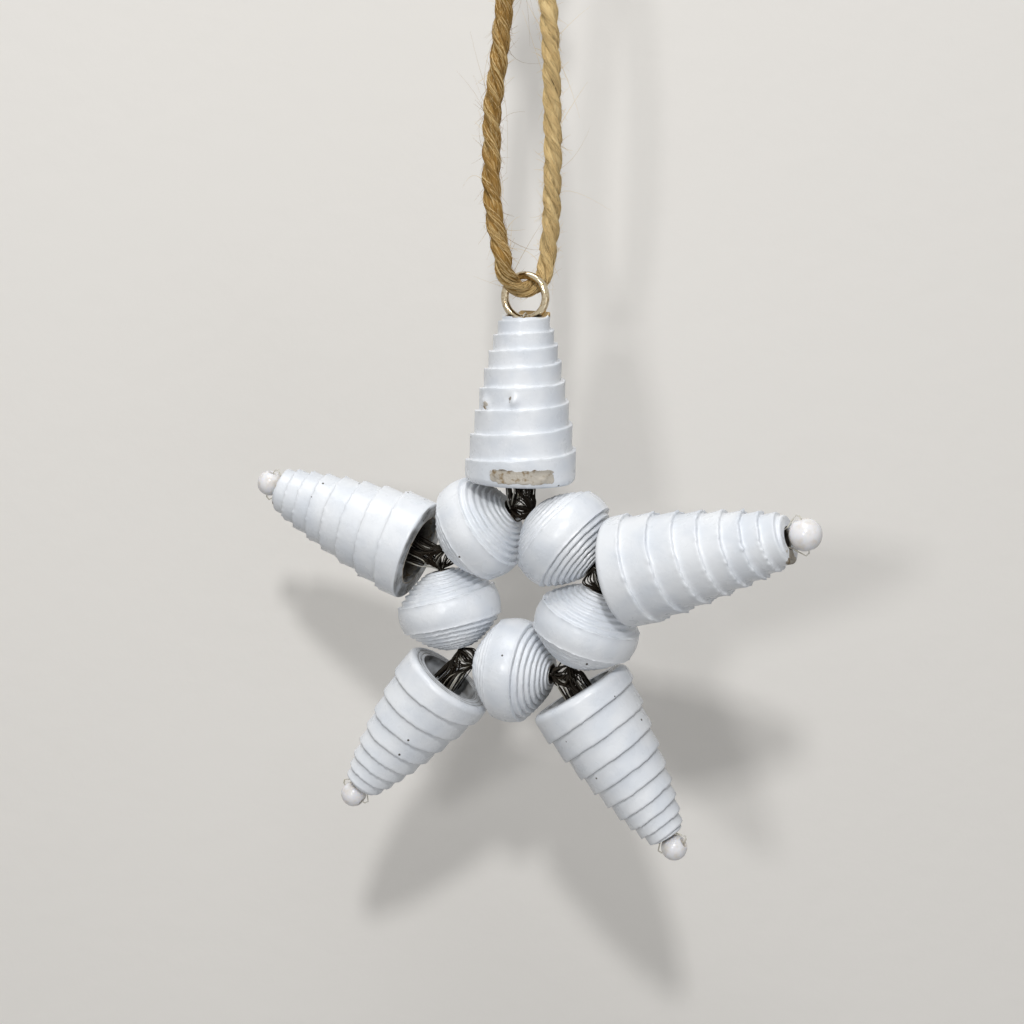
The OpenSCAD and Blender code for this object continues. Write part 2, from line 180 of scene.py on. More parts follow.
# Shares of the loop's length where its fibre starts to get paler and in which it does, and how much paler
PALE_FROM, PALE_OVER, PALER = 0.42, 0.2, 0.5
# Short and long hairs along each loose end of the knot and on its wraps, and the hairs at an end's cut
TAIL_HAIRS, WRAP_HAIRS, CUT_HAIRS = (24, 2), (90, 8), 40
# Shortest and longest in millimetres of the short hairs, the long ones and those at a cut
FUZZ_LENGTH, STRAY_LENGTH, CUT_LENGTH = (0.6, 2.2), (3.5, 9.5), (1, 3.2)
# Lean of the knot's loose ends, the share of the wraps in which each of their ends tucks in, the share of
# their radius by which it does, and the points in one wrap
TAIL_LEAN, TUCK, TUCK_IN, WRAP_POINTS = math.radians(14), 0.08, 0.62, 40

# Width of the ring's cut, and where it lies: at the bottom, a little to the left
RING_CUT, RING_CUT_TURN = 0.1 * MM, math.radians(-97)
# Points along the ring's wire and round it
RING_ROWS, RING_SIDES = 144, 24
# Round of the edge of a pearl's hole, and the points round a pearl and from edge to edge
PEARL_LIP, PEARL_COLUMNS, PEARL_ROWS = 0.18 * MM, 48, 33
# Loose strands of the line, in millimetres: how far they spread to the front and back, how deep they start in
# a bead's hole, how far outside it they bend, and how deep they end in a cone's hollow
STRAND_SPREAD, STRAND_TUCK, STRAND_BEND, STRAND_END = 2.6, 1.5, 0.2, 2.5
# One strand in how many is clean, the others being dark as painted shade, the step between rings of points
# along a strand, and the points in a ring
CLEAN_STRAND, STRAND_STEP, STRAND_SIDES = 12, 0.4 * MM, 5

# Lamps: metres toward the camera, to the right and up from the star's middle, metres across, watts and colour
LAMPS = {
    "key": (0.52, -0.02, 0.37, 0.05, 1.35, "#FFFFFF"),
    "side_key": (0.55, -0.18, 0.14, 0.06, 0.6, "#FFFFFF"),
    "overhead": (0.25, -0.08, 0.85, 0.5, 3.4, "#FFFFFF"),
    "fill": (0.5, 0.3, -0.2, 0.5, 0.44, "#F4F7FF"),
    "back": (-0.5, -0.2, 0.35, 0.5, 1.2, "#FFFFFF"),
}
# The backdrop in metres: half its width, the wall above the star's middle, the floor below it and toward the
# camera, and the round between them
WALL_HALF, WALL_TOP, FLOOR_DROP, FLOOR_DEPTH, COVE = 1.2, 1.2, 0.24, 0.5, 0.1


def linear(hex_colour):
    """An sRGB hex colour as linear red, green, blue and alpha."""
    parts = [int(hex_colour[i:i + 2], 16) / 255 for i in (1, 3, 5)]
    return (*(c / 12.92 if c <= 0.04045 else ((c + 0.055) / 1.055) ** 2.4 for c in parts), 1.0)


def colour_property(name, description, hex_colour):
    """A colour that a user can change, with its default as a hex value."""
    return FloatVectorProperty(
        name=name, description=description, subtype="COLOR", size=4, min=0, max=1, default=linear(hex_colour)
    )


def length_property(name, description, millimetres):
    """A length that a user can change, with its default in millimetres."""
    return FloatProperty(
        name=name, description=description, unit="LENGTH", precision=5, min=0, default=millimetres * MM
    )


def count_property(name, description, count, least=0):
    """A whole number that a user can change."""
    return IntProperty(name=name, description=description, default=count, min=least)


def share_property(name, description, share):
    """A share from 0 to 1 that a user can change."""
    return FloatProperty(name=name, description=description, subtype="FACTOR", min=0, max=1, default=share)


def angle_property(name, description, degrees):
    """An angle that a user can change, with its default in degrees."""
    return FloatProperty(name=name, description=description, subtype="ANGLE", default=math.radians(degrees))


class StarCard(bpy.types.PropertyGroup):
    """Sizes of the rolled card."""

    cone_card: length_property("Cone card", "One step of a cone's roll, paint included", 0.66)
    bead_card: length_property("Bead card", "One step of a round bead's roll, paint included", 0.8)
    columns: count_property("Columns", "Points in one turn of a roll", 112, 24)
    cone_hem: length_property("Cone hem", "Height of a cone's last turn, round its base", 2.0)
    bead_hem: length_property("Bead hem", "Half the width of a round bead's last turn", 1.8)
    bead_rim: length_property("Bead rim", "Round of the rims of a round bead", 0.26)
    bead_crown: length_property("Bead crown", "How far a round bead's last turn swells in its middle", 0.3)
    coat: length_property("Coat", "Thickness of the paint on a round bead's sides", 0.09)
    wobble: length_property("Wobble", "How far a cut edge strays from its line", 0.16)
    lap: share_property("Lap", "Share of a turn in which a strip's end thins out", 0.03)


class StarPaint(bpy.types.PropertyGroup):
    """Colours of the painted card."""

    enamel: colour_property("Enamel", "White paint where it lies thick", "#EDF0F4")
    enamel_thin: colour_property("Thin enamel", "White paint where it lies thin", "#DFE4EB")
    # Dirt and painted shade: this grey darkens the grooves between turns, the ends of the turns on a cone's
    # base and the painted insides of the holes
    groove_dirt_and_shade: colour_property("Grime", "Dirt in the grooves between turns", "#6E6C68")
    speck: colour_property("Speck", "Specks in the paint", "#3B332C")
    card: colour_property("Card", "Bare grey-brown card", "#C3BCB0")
    card_brown: colour_property("Brown card", "Bare card where its brown fibre shows", "#8F7B5C")
    card_raw: colour_property("Raw card", "Torn edge of the card, with no paint or dirt", "#D2B27A")
    # Painted shade: the near black mixed in deep in the cones' hollows and the beads' holes. It is also the
    # colour of the brown stain on the top cone's chip
    card_shade_and_stain: colour_property("Dark card", "Bare card deep in a hole", "#1F1710")


class StarTwine(bpy.types.PropertyGroup):
    """Sizes and colours of the jute twine."""

    diameter: length_property("Diameter", "Across the twine", 2.6)
    plies: count_property("Plies", "Yarns that the twine is laid from", 3, 2)
    lead: length_property("Lead", "Length of twine in one turn of a ply", 11)
    step: length_property("Step", "Distance between rings of points along a ply", 0.45)
    ply_sides: count_property("Ply sides", "Points round a ply", 14, 6)
    fibres: count_property("Fibres", "Fibres that lie on the plies of the loop", 3200)
    fuzz: count_property("Fuzz", "Short hairs on the loop", 1700)
    stray: count_property("Stray hairs", "Long hairs on the loop", 70)
    hair: length_property("Hair", "Thickness of one hair", 0.07)
    wraps: count_property("Wraps", "Turns of the knot round both strands", 3, 1)
    tail: length_property("Tail", "Length of each loose end above the knot", 8)
    jute: colour_property("Jute", "Most of the fibre", "#A57F42")
    jute_light: colour_property("Light jute", "Fibre that catches the light", "#E6CB94")
    # Darker streaks of fibre, and painted shade between the plies
    jute_dark_and_shade: colour_property("Dark jute", "Fibre between the plies", "#4E3615")


class StarTrim(bpy.types.PropertyGroup):
    """The ring, the tip beads and the stringing line."""

    ring_metal: colour_property("Ring metal", "Pale gold plate", "#CBBEA4")
    ring_worn: colour_property("Worn ring metal", "Plate where it is worn", "#8A6A3A")
    pearl: colour_property("Pearl", "Tip beads", "#EFEEF0")
    pearl_cloud: colour_property("Pearl clouds", "Clouds in the tip beads", "#DDD6CC")
    nylon: colour_property("Nylon", "Stringing line", "#EAE8E0")
    nylon_dusty: colour_property("Dusty nylon", "Line with dust on it", "#D8D2BE")
    # Painted shade: the dark brown that most loose strands take, deep in the gaps
    nylon_gap_shade: colour_property("Dirty nylon", "Line that has gone brown deep in a gap", "#211910")
    line_thin: length_property("Line shrink", "How far the line's skin is drawn in from its solid", 0.14)
    strand: length_property("Strand", "Thickness of a loose strand of the line", 0.22)
    strands: count_property("Strands", "Loose strands from one thing to the next in a gap", 26, 1)


class StarStage(bpy.types.PropertyGroup):
    """Camera, light and backdrop."""

    distance: length_property("Distance", "From the camera to the middle of the star", 300)
    azimuth: angle_property("Azimuth", "How far the camera stands to the right of the front", 21.41)
    elevation: angle_property("Elevation", "How far the camera stands above level", 11.09)
    lens: FloatProperty(
        name="Lens", description="Focal length for a sensor 36 mm wide", unit="CAMERA", default=66.29
    )
    aim_right: angle_property("Aim right", "Angle of the star's middle right of the picture's middle", 0.19)
    aim_down: angle_property("Aim down", "Angle of the star's middle below the picture's middle", 2.51)
    wall_gap: length_property("Wall gap", "From the middle of the star to the wall behind it", 52)
    wall: colour_property("Wall", "Plain pale wall and floor", "#EEEBE6")
    sky: colour_property("Sky", "Plain surround", "#E6E5E2")
    glow: share_property("Glow", "How strongly the surround lights the star", 0.28)


def settings(name):
    """One of the property groups, by its short name."""
    return getattr(bpy.context.scene, "star_" + name)


# Small tools for meshes

def smoothstep(x):
    """A soft step from 0 to 1."""
    x = np.clip(x, 0, 1)
    return x * x * (3 - 2 * x)


def waves(rng, cycles):
    """A function that sways between about -1 and 1, with the given numbers of cycles a turn."""
    phases = rng.uniform(0, 1, len(cycles))
    sizes = rng.uniform(0.5, 1, len(cycles))

    def sway(turns):
        parts = [s * np.sin(FULL_TURN * (c * turns + p)) for c, p, s in zip(cycles, phases, sizes)]
        return sum(parts) / sizes.sum()

    return sway


def weld(points, faces):
    """Joins points that lie together and drops faces that close up. Gives the kept points' numbers too."""
    keys = np.round(points / SAME_POINT).astype(np.int64)
    _, kept, back = np.unique(keys, axis=0, return_index=True, return_inverse=True)
    back = back.reshape(-1)
    joined = []
    for face in faces:
        face = back[face]
        ring = [int(v) for i, v in enumerate(face) if v != face[i - 1]]
        if len(set(ring)) == len(ring) > 2:
            joined.append(ring)
    return points[kept], joined, kept


def new_piece(name, points, faces, material, values=None):
    """A smooth mesh object with its material and any values kept at its points."""
    mesh = bpy.data.meshes.new(name)
    mesh.from_pydata([tuple(p) for p in points], [], [tuple(f) for f in faces])
    for key, numbers in (values or {}).items():
        layer = mesh.attributes.new(key, "FLOAT", "POINT")
        layer.data.foreach_set("value", np.asarray(numbers, np.float32))
    mesh.polygons.foreach_set("use_smooth", [True] * len(mesh.polygons))
    mesh.materials.append(material)
    mesh.validate()
    piece = bpy.data.objects.new(name, mesh)
    bpy.context.scene.collection.objects.link(piece)
    return piece


def grid_faces(rows, columns, closed_rows, closed_columns):
    """Quads between the points of a grid that is stored row by row."""
    faces = []
    for i in range(rows if closed_rows else rows - 1):
        for j in range(columns if closed_columns else columns - 1):
            here, there = i * columns, (i + 1) % rows * columns
            right = (j + 1) % columns
            faces.append((here + j, here + right, there + right, there + j))
    return faces


def turning_frames(path):
    """Two directions across a path at each of its points, which turn as little as they can."""
    path = np.asarray(path)
    ahead = np.gradient(path, axis=0)
    ahead /= np.linalg.norm(ahead, axis=1)[:, None]
    side = np.cross(ahead[0], (0.3, 0.2, 1.0) if abs(ahead[0][2]) < 0.9 else (1.0, 0.3, 0))
    sides = []
    for way in ahead:
        side = side - way * (side @ way)
        side = side / np.linalg.norm(side)
        sides.append(side)
    sides = np.array(sides)
    return sides, np.cross(ahead, sides)


def tube_points(path, radii, sides):
    """Rings of points along a path, ring by ring."""
    a, b = turning_frames(path)
    angles = FULL_TURN * np.arange(sides) / sides
    radii = np.asarray(radii)
    if radii.ndim == 1:
        radii = np.repeat(radii[:, None], sides, axis=1)
    across = a[:, None] * np.cos(angles)[None, :, None] + b[:, None] * np.sin(angles)[None, :, None]
    return np.asarray(path)[:, None] + across * radii[:, :, None]


def capped_tubes(tubes):
    """One set of points and faces from several open tubes of ringed points, with closed ends."""
    points, faces, start = [], [], 0
    for rings in tubes:
        count, sides = rings.shape[:2]
        points.append(rings.reshape(-1, 3))
        faces += [tuple(start + v for v in f) for f in grid_faces(count, sides, False, True)]
        faces.append(tuple(start + j for j in reversed(range(sides))))
        faces.append(tuple(start + (count - 1) * sides + j for j in range(sides)))
        start += count * sides
    return np.concatenate(points), faces


def distances(path):
    """Distance of each point of a path from its start, along it."""
    return np.concatenate([[0], np.cumsum(np.linalg.norm(np.diff(path, axis=0), axis=1))])


def smooth_path(corners, step):
    """Points at even steps on a smooth curve through the given corners."""
    corners = np.asarray(corners, float)
    padded = np.vstack([2 * corners[0] - corners[1], corners, 2 * corners[-1] - corners[-2]])
    shares = np.linspace(0, 1, 24, endpoint=False)[:, None]
    dense = []
    for p0, p1, p2, p3 in zip(padded, padded[1:], padded[2:], padded[3:]):
        dense.append(0.5 * (
            2 * p1 + (p2 - p0) * shares
            + (2 * p0 - 5 * p1 + 4 * p2 - p3) * shares ** 2
            + (3 * p1 - p0 - 3 * p2 + p3) * shares ** 3
        ))
    dense = np.vstack([*dense, corners[-1:]])
    along = distances(dense)
    count = max(3, round(along[-1] / step) + 1)
    even = np.linspace(0, along[-1], count)
    return np.stack([np.interp(even, along, dense[:, i]) for i in range(3)], axis=1)


# Materials. Inputs go by number where names repeat: a Map Range takes its value at 0, its limits at 1 and 2
# and what they become at 3 and 4; a Mix takes its share at 0, and two numbers at 2 and 3 or two colours at 6
# and 7

SOFT = {"interpolation_type": "SMOOTHSTEP"}
COLOURS = {"data_type": "RGBA", "out": 2}


def set_sockets(tree, node, sockets):
    """Gives each of these inputs its value, or links it where it gets another node's output."""
    for key, value in sockets.items():
        if isinstance(value, bpy.types.NodeSocket):
            tree.links.new(value, node.inputs[key])
        else:
            node.inputs[key].default_value = value


def add_node(tree, kind, sockets=None, out=0, **choices):
    """Adds a node, makes its choices, sets or links its inputs, and gives one of its outputs."""
    node = tree.nodes.new("ShaderNode" + kind)
    for key, choice in choices.items():
        setattr(node, key, choice)
    set_sockets(tree, node, sockets or {})
    return node.outputs[out]


def new_material(name):
    """A material with what sets its shader's inputs and what adds a node to it."""
    material = bpy.data.materials.new(name)
    material.use_nodes = True
    tree = material.node_tree
    return material, partial(set_sockets, tree, tree.nodes["Principled BSDF"]), partial(add_node, tree)


def white_enamel_on_card():
    """Thick white gloss enamel brushed over rolled kraft card: a wet, slightly uneven skin with lumps and
    specks, thin and grey in the grooves, and rough brown card where the brush didn't reach."""
    paint = settings("paint")
    material, shade, add = new_material("white_enamel_on_card")
    place = add("TexCoord", out="Object")
    # Each roll takes its patterns from another place
    luck = add("Math", {0: add("ObjectInfo", out="Random"), 1: 40.0}, operation="MULTIPLY")
    # Grain of each pattern in millimetres, and its detail. The card's fibre is really a tenth of this, and is
    # drawn as coarse as it needs to show
    grain = {
        name: add(
            "TexNoise", {"Scale": 1 / (size * MM), "Detail": detail, "Vector": place, "W": luck},
            noise_dimensions="4D",
        )
        for name, size, detail in (
            ("tear", 1.3, 5), ("fibre", 0.35, 3), ("brown", 0.9, 4), ("thin", 5, 2), ("dirt_and_shade", 3.2, 2),
            ("gloss", 2.2, 3), ("peel", 0.75, 2), ("lump", 2.6, 2),
        )
    }
    kept = {
        name: add("Attribute", out="Fac", attribute_name=name) for name in ("bare", "depth", "raw", "groove")
    }

    # The paint ends in a ragged edge
    ragged = add("MapRange", {0: grain["tear"], 1: 0.2, 2: 0.8, 3: -0.3, 4: 0.3}, **SOFT)
    edge = add("Math", {0: kept["bare"], 1: ragged}, operation="ADD")
    bare = add("MapRange", {0: edge, 1: 0.44, 2: 0.56}, **SOFT)
    brown = add("MapRange", {0: grain["brown"], 1: 0.5, 2: 0.68}, **SOFT)
    card = add("Mix", {0: brown, 6: paint.card, 7: paint.card_brown}, **COLOURS)
    card = add("Mix", {0: kept["raw"], 6: card, 7: paint.card_raw}, **COLOURS)
    # Painted shade: deep in the hollows and holes, in the pit and along the chip's top edge the card turns
    # near black. The same mix gives the chip's brown stain and darkens the flake at the mouth
    deep = add("MapRange", {0: kept["depth"]}, **SOFT)
    card = add("Mix", {0: deep, 6: card, 7: paint.card_shade_and_stain}, **COLOURS)

    thin = add("MapRange", {0: grain["thin"], 1: 0.35, 2: 0.7}, **SOFT)
    white = add("Mix", {0: thin, 6: paint.enamel, 7: paint.enamel_thin}, **COLOURS)
    # Dirt and painted shade: the grooves, the base and the painted part of the hollows turn grey in patches
    patchy = add("MapRange", {0: grain["dirt_and_shade"], 1: 0.3, 2: 0.62, 3: 0.25, 4: 0.95}, **SOFT)
    dirt_and_shade_mask = add("Math", {0: kept["groove"], 1: patchy}, operation="MULTIPLY")
    white = add("Mix", {0: dirt_and_shade_mask, 6: white, 7: paint.groove_dirt_and_shade}, **COLOURS)
    # Specks about four tenths of a millimetre across, in about half of the cells of a net of some millimetres
    moved = add("VectorMath", {0: place, 1: luck}, operation="ADD")
    cell = add("TexVoronoi", {"Scale": 1 / (3.4 * MM), "Vector": moved}, out="Distance")
    near = add("MapRange", {0: cell, 1: 0.066, 2: 0.045}, **SOFT)
    chance = add("SeparateColor", {0: cell.node.outputs["Color"]})
    few = add("MapRange", {0: chance, 1: 0.5, 2: 0.52}, **SOFT)
    speck = add("Math", {0: near, 1: few}, operation="MULTIPLY")
    white = add("Mix", {0: speck, 6: white, 7: paint.speck}, **COLOURS)

    gloss = add("MapRange", {0: grain["gloss"], 1: 0.3, 2: 0.75, 3: 0.24, 4: 0.4}, **SOFT)
    # Orange peel and lumps in the paint, and the card's own fibre
    normal = add("Bump", {"Strength": 0.8, "Distance": 0.05 * MM, "Height": grain["peel"]})
    normal = add("Bump", {"Strength": 0.6, "Distance": 0.16 * MM, "Height": grain["lump"], "Normal": normal})
    fuzzy = add("Math", {0: grain["fibre"], 1: bare}, operation="MULTIPLY")
    shade({
        "Base Color": add("Mix", {0: bare, 6: white, 7: card}, **COLOURS),
        "Roughness": add("Mix", {0: bare, 2: gloss, 3: 0.86}, data_type="FLOAT"),
        "IOR": 1.5,
        "Normal": add("Bump", {"Strength": 0.9, "Distance": 0.12 * MM, "Height": fuzzy, "Normal": normal}),
    })
    return material


def jute_fibre():
    """Spun jute: dull golden plant fibre in long streaks along each ply, with painted shade where the plies
    meet.
    """
    twine = settings("twine")
    material, shade, add = new_material("jute_fibre")
    along, around, depth, pale_shift = (
        add("Attribute", out="Fac", attribute_name=name) for name in FIBRE_VALUES
    )
    # Streaks some millimetres long and a sixteenth of the way round a ply wide, coarser than the real fibre
    # so that they show
    lengthwise = add("Math", {0: along, 1: 1 / (3.5 * MM)}, operation="MULTIPLY")
    crosswise = add("Math", {0: around, 1: 16.0}, operation="MULTIPLY")
    place = add("CombineXYZ", {0: lengthwise, 1: crosswise})
    streak = add("TexNoise", {"Scale": 1.0, "Detail": 4.0, "Vector": place})
    # The fibre is drawn paler along the second half of the loop, up the right strand
    paler = add("Math", {0: streak, 1: pale_shift}, operation="ADD")
    light = add("MapRange", {0: paler, 1: 0.46, 2: 0.72})
    colour = add("Mix", {0: light, 6: twine.jute, 7: twine.jute_light}, **COLOURS)
    slow = add("TexNoise", {"Scale": 1 / (9 * MM), "Detail": 1.0, "Vector": add("TexCoord", out="Object")})
    dark = add("MapRange", {0: streak, 1: 0.5, 2: 0.3})
    dark = add("Math", {0: dark, 1: slow}, operation="MULTIPLY")
    # Darker streaks of fibre, and the painted shade between the plies
    low = add("Math", {0: dark, 1: depth}, operation="MAXIMUM")
    shade({
        "Base Color": add("Mix", {0: low, 6: colour, 7: twine.jute_dark_and_shade}, **COLOURS),
        "Roughness": 0.78,
        "Specular IOR Level": 0.25,
        "Normal": add("Bump", {"Strength": 1.0, "Distance": 0.2 * MM, "Height": streak}),
    })
    return material


def gold_plated_wire():
    """Drawn steel wire with a thin pale gold plate: a bright mirror, worn darker and duller in spots."""
    trim = settings("trim")
    material, shade, add = new_material("gold_plated_wire")
    # Spots of wear about half a millimetre across
    wear = add("TexNoise", {"Scale": 1 / (0.5 * MM), "Detail": 3.0, "Vector": add("TexCoord", out="Object")})
    worn = add("MapRange", {0: wear, 1: 0.5, 2: 0.75})
    shade({
        "Base Color": add("Mix", {0: worn, 6: trim.ring_metal, 7: trim.ring_worn}, **COLOURS),
        "Roughness": add("MapRange", {0: wear, 1: 0.3, 2: 0.7, 3: 0.08, 4: 0.2}),
        "Metallic": 1.0,
    })
    return material


def moulded_pearl():
    """Moulded acrylic pearl: smooth, milky, with light that sinks in a little under a clear gloss."""
    trim = settings("trim")
    material, shade, add = new_material("moulded_pearl")
    # Clouds in the pearl between one and two millimetres across
    cloud = add("TexNoise", {"Scale": 1 / (1.6 * MM), "Detail": 2.0, "Vector": add("TexCoord", out="Object")})
    cloudy = add("MapRange", {0: cloud, 1: 0.45, 2: 0.75})
    shade({
        "Base Color": add("Mix", {0: cloudy, 6: trim.pearl, 7: trim.pearl_cloud}, **COLOURS),
        "Roughness": 0.22,
        "Subsurface Weight": 0.35,
        "Subsurface Radius": (1.0, 0.9, 0.75),
        "Subsurface Scale": 1.2 * MM,
        "IOR": 1.49,
    })
    return material


def nylon_line():
    """Clear nylon line, drawn smooth, with dust on it: half see-through and glossy, and dull and dark brown
    where its tone is dark, as painted shade in the gaps."""
    trim = settings("trim")
    material, shade, add = new_material("nylon_line")
    # Dust in patches about a millimetre across, because its grains are too fine to show
    dust = add("TexNoise", {"Scale": 1 / (0.8 * MM), "Detail": 2.0, "Vector": add("TexCoord", out="Object")})
    dusty = add("MapRange", {0: dust, 1: 0.4, 2: 0.7})
    clean = add("Mix", {0: dusty, 6: trim.nylon, 7: trim.nylon_dusty}, **COLOURS)
    tone = add("Attribute", out="Fac", attribute_name="tone")
    shade({
        "Base Color": add("Mix", {0: tone, 6: clean, 7: trim.nylon_gap_shade}, **COLOURS),
        "Roughness": add("MapRange", {0: tone, 1: 0.0, 2: 0.8, 3: 0.25, 4: 0.7}),
        "Specular IOR Level": 0.1,
        "IOR": 1.53,
        "Transmission Weight": add("MapRange", {0: tone, 1: 0.0, 2: 0.6, 3: 0.35, 4: 0.0}),
    })
    return material


# Rolls of card

def roll_place(name):
    """Where a roll's own axes lie: its middle or base at its joint, and its third axis along the hole."""
    joint = JOINTS[name + "_turn"]
    along = Vector(joint["axis"]).normalized()
    across = BACKWARD.cross(along).normalized()
    matrix = Matrix((across, along.cross(across), along)).transposed().to_4x4()
    matrix.translation = Vector(joint["pos_m"])
    return matrix


def own_points(name):
    """A node's points in its roll's own axes."""
    inverse = np.array(roll_place(name).inverted())
    points = np.array([v.co for v in frame["nodes"][name].data.vertices])
    return points @ inverse[:3, :3].T + inverse[:3, 3]


class Roll:
    """A strip of card rolled up from its wide end. Places along it are counted in turns from the mouth,
    so a negative place is inside the mouth. The strip thins out after its end."""

    def __init__(self, points, height, hem, thickness, rng):
        card = settings("card")
        radii = np.linalg.norm(points[:, :2], axis=1)
        self.card = thickness
        self.height = height
        self.hem = hem
        self.foot = float(radii.max())
        self.bore = float(radii.min())
        self.top = float(radii[points[:, 2] > points[:, 2].max() - SAME_LEVEL].max())
        self.turns = (self.foot - self.top) / self.card
        self.last = math.floor(self.turns)
        self.first = math.floor((self.bore - self.top) / self.card)
        self.lap = min(card.lap, self.last + 1 - self.turns)
        self.sway = waves(rng, (0.7, 1.3, 2.9, 5.3, 8.9))
        self.fray = waves(rng, (13.7, 19.3, 27.1, 35.9))
        self.patches = waves(rng, (0.37, 0.83, 1.7, 3.1))
        self.wobble = card.wobble

    def radius(self, place):
        """Outer radius of the turn at a place."""
        plain = np.maximum(self.top + self.card * place, self.bore)
        under = np.maximum(self.top + self.card * (place - 1), self.bore)
        thinning = 1 - smoothstep((place - self.turns) / self.lap)
        return np.where(place > self.turns, under + self.card * thinning, plain)

    def edge(self, place):
        """Height of the strip's slanted edge at a place, with the wobble of a hand cut."""
        radius = self.top + self.card * np.clip(place, 0, self.turns)
        share = (radius ** 2 - self.top ** 2) / (self.foot ** 2 - self.top ** 2)
        loose = smoothstep(place) * smoothstep(self.turns - place)
        stray = self.wobble * (self.sway(place) + 0.3 * self.fray(place))
        return self.height - (self.height - self.hem) * share + loose * stray

    def ledges(self, columns, fillet, rim, groove, burr):
        """Rows of (radius, height, groove) from the hole's edge at the mouth, out over every turn, to the
        hem. Paint pools in the corners, more in some places than in others."""
        rows = []
        for turn in range(self.first, self.last + 1):
            place = turn + columns
            inner, outer = self.radius(place - 1), self.radius(place)
            edge = self.edge(place)
            above = np.maximum(self.edge(place - 1) - edge, 0)
            low = self.edge(place + 1) if turn < self.last else np.full_like(edge, self.hem)
            below = np.maximum(edge - low, 0)
            width = outer - inner
            patch = 0.75 + 0.45 * self.patches(place)
            pool = np.minimum.reduce([fillet * patch, 0.6 * width, 0.45 * above])
            bend = np.minimum.reduce([np.full_like(edge, rim), 0.38 * width, 0.42 * below])
            open_to = np.minimum(groove * np.clip(1.6 - patch, 0.1, 1.2), 0.3 * width)
            next_pool = np.minimum(fillet, 0.45 * below)
            rest = below - bend - next_pool
            rough = burr * np.maximum(self.fray(1.3 * place), 0) * smoothstep(place)
            none = np.zeros_like(edge)
            # The third value is how far the dirt and painted shade of a groove reach, most in the ledge's
            # inner corner
            rows += [
                (inner, edge + pool, none + 0.4),
                (inner + 0.3 * pool + 0.3 * open_to, edge + 0.3 * pool - open_to, none + 1),
                (inner + np.maximum(pool, 0.2 * width), edge, none + 0.2),
                (outer - bend, edge + 0.6 * rough, none),
                (outer - 0.3 * bend + rough, edge - 0.3 * bend + rough, none),
                (outer + 0.6 * rough, edge - bend, none),
            ]
            rows += [(outer, edge - bend - share * rest, none) for share in (0.12, 0.31, 0.5, 0.69, 0.88)]
        return rows

    def foot_face(self, columns, base_round, hollow):
        """Rows of (radius, height, groove) from the hem, round the base's edge and in over the ends of the
        turns to the hollow."""
        outer = self.radius(self.last + columns)
        none = np.zeros_like(outer)
        inset = outer - base_round
        rows = [
            (outer, none + base_round + share * (self.hem - base_round), none)
            for share in np.arange(0.9, 0, -0.1)
        ]
        rows += [
            (outer, none + base_round, none),
            (outer - 0.08 * base_round, none + 0.62 * base_round, none),
            (outer - 0.3 * base_round, none + 0.3 * base_round, none),
            (outer - 0.62 * base_round, none + 0.08 * base_round, none),
            (inset, none, none),
        ]
        for turn in range(self.last, self.first - 1, -1):
            place = turn + columns
            inner, edge = self.radius(place - 1), self.radius(place)
            width = edge - inner
            lift = TURN_LIFT * (1 + self.sway(place)) * np.minimum(width / self.card, 1)
            # The ends of the turns darken toward each turn's inner edge, with dirt and painted shade in the
            # crevices between them
            for share, sink, dark in ((0.2, 0.2, 0.2), (0.75, 0.3, 0.3), (1.0, 1.0, 1.0)):
                radius = np.clip(edge - share * width, hollow, inset)
                shown = (radius < inset - SAME_LEVEL) & (radius > hollow + SAME_LEVEL)
                rows.append((radius, np.where(shown, sink * lift, 0), none + dark))
        return rows

    def hollow_wall(self, columns, hollow, depth):
        """Rows of (radius, height, groove) up the hollow in the base, with a step at each turn."""
        level = np.ones_like(columns)
        steps = round((hollow - self.bore) / self.card)
        rows = []
        for step in range(steps):
            radius = hollow + (self.bore - hollow) * step / steps
            for share in (0.06, 0.94):
                stray = HOLLOW_STRAY * self.sway(step + columns)
                rows.append((radius * level, depth * (step + share) / steps + stray * (step > 0), level))
        return rows


def roll_mesh(outer, inner, columns, oval, lumps=()):
    """Points and faces of a closed roll, how deep in a groove and how far inside each point is, from its
    rows, which run over the outside from the mouth and back up the inside to the mouth."""
    rows = outer + inner
    inside = np.repeat([0.0] * len(outer) + [1.0] * len(inner), len(columns))
    radius, height, groove = (np.array([row[i] for row in rows]) for i in range(3))
    # The ledges climb to the right, so the angle runs backwards
    angle = -FULL_TURN * columns[None, :]
    radius = radius * (1 + oval[None, :])
    for *mark, rise in lumps:
        radius = radius + rise * MM * nearness(angle, height, radius, *mark)
    points = np.stack([radius * np.cos(angle), radius * np.sin(angle), height], axis=-1)
    faces = np.array(grid_faces(len(rows), len(columns), True, False))
    points, faces, kept = weld(points.reshape(-1, 3), faces)
    return points, faces, groove.reshape(-1)[kept], inside[kept]


def nearness(angle, up, radius, degrees, height, size):
    """How near places on the outside of a roll lie to a mark, from 0 to 1, with 0 for those in its hole. The
    mark's height and size are in millimetres."""
    turned = (angle - math.radians(degrees) + math.pi) % FULL_TURN - math.pi
    far = (turned * radius) ** 2 + (up - height * MM) ** 2
    return np.exp(-far / (size * MM) ** 2) * (radius > HOLE_RADIUS)


def window(value, low, high, soft):
    """1 between two limits, with soft edges."""
    return smoothstep((value - low) / soft) * smoothstep((high - value) / soft)


def place_roll(piece, name):
    """Sets a piece in its place, where it turns with its body and stands for its node."""
    piece.matrix_world = roll_place(name)
    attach(piece, name)
    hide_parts(name)


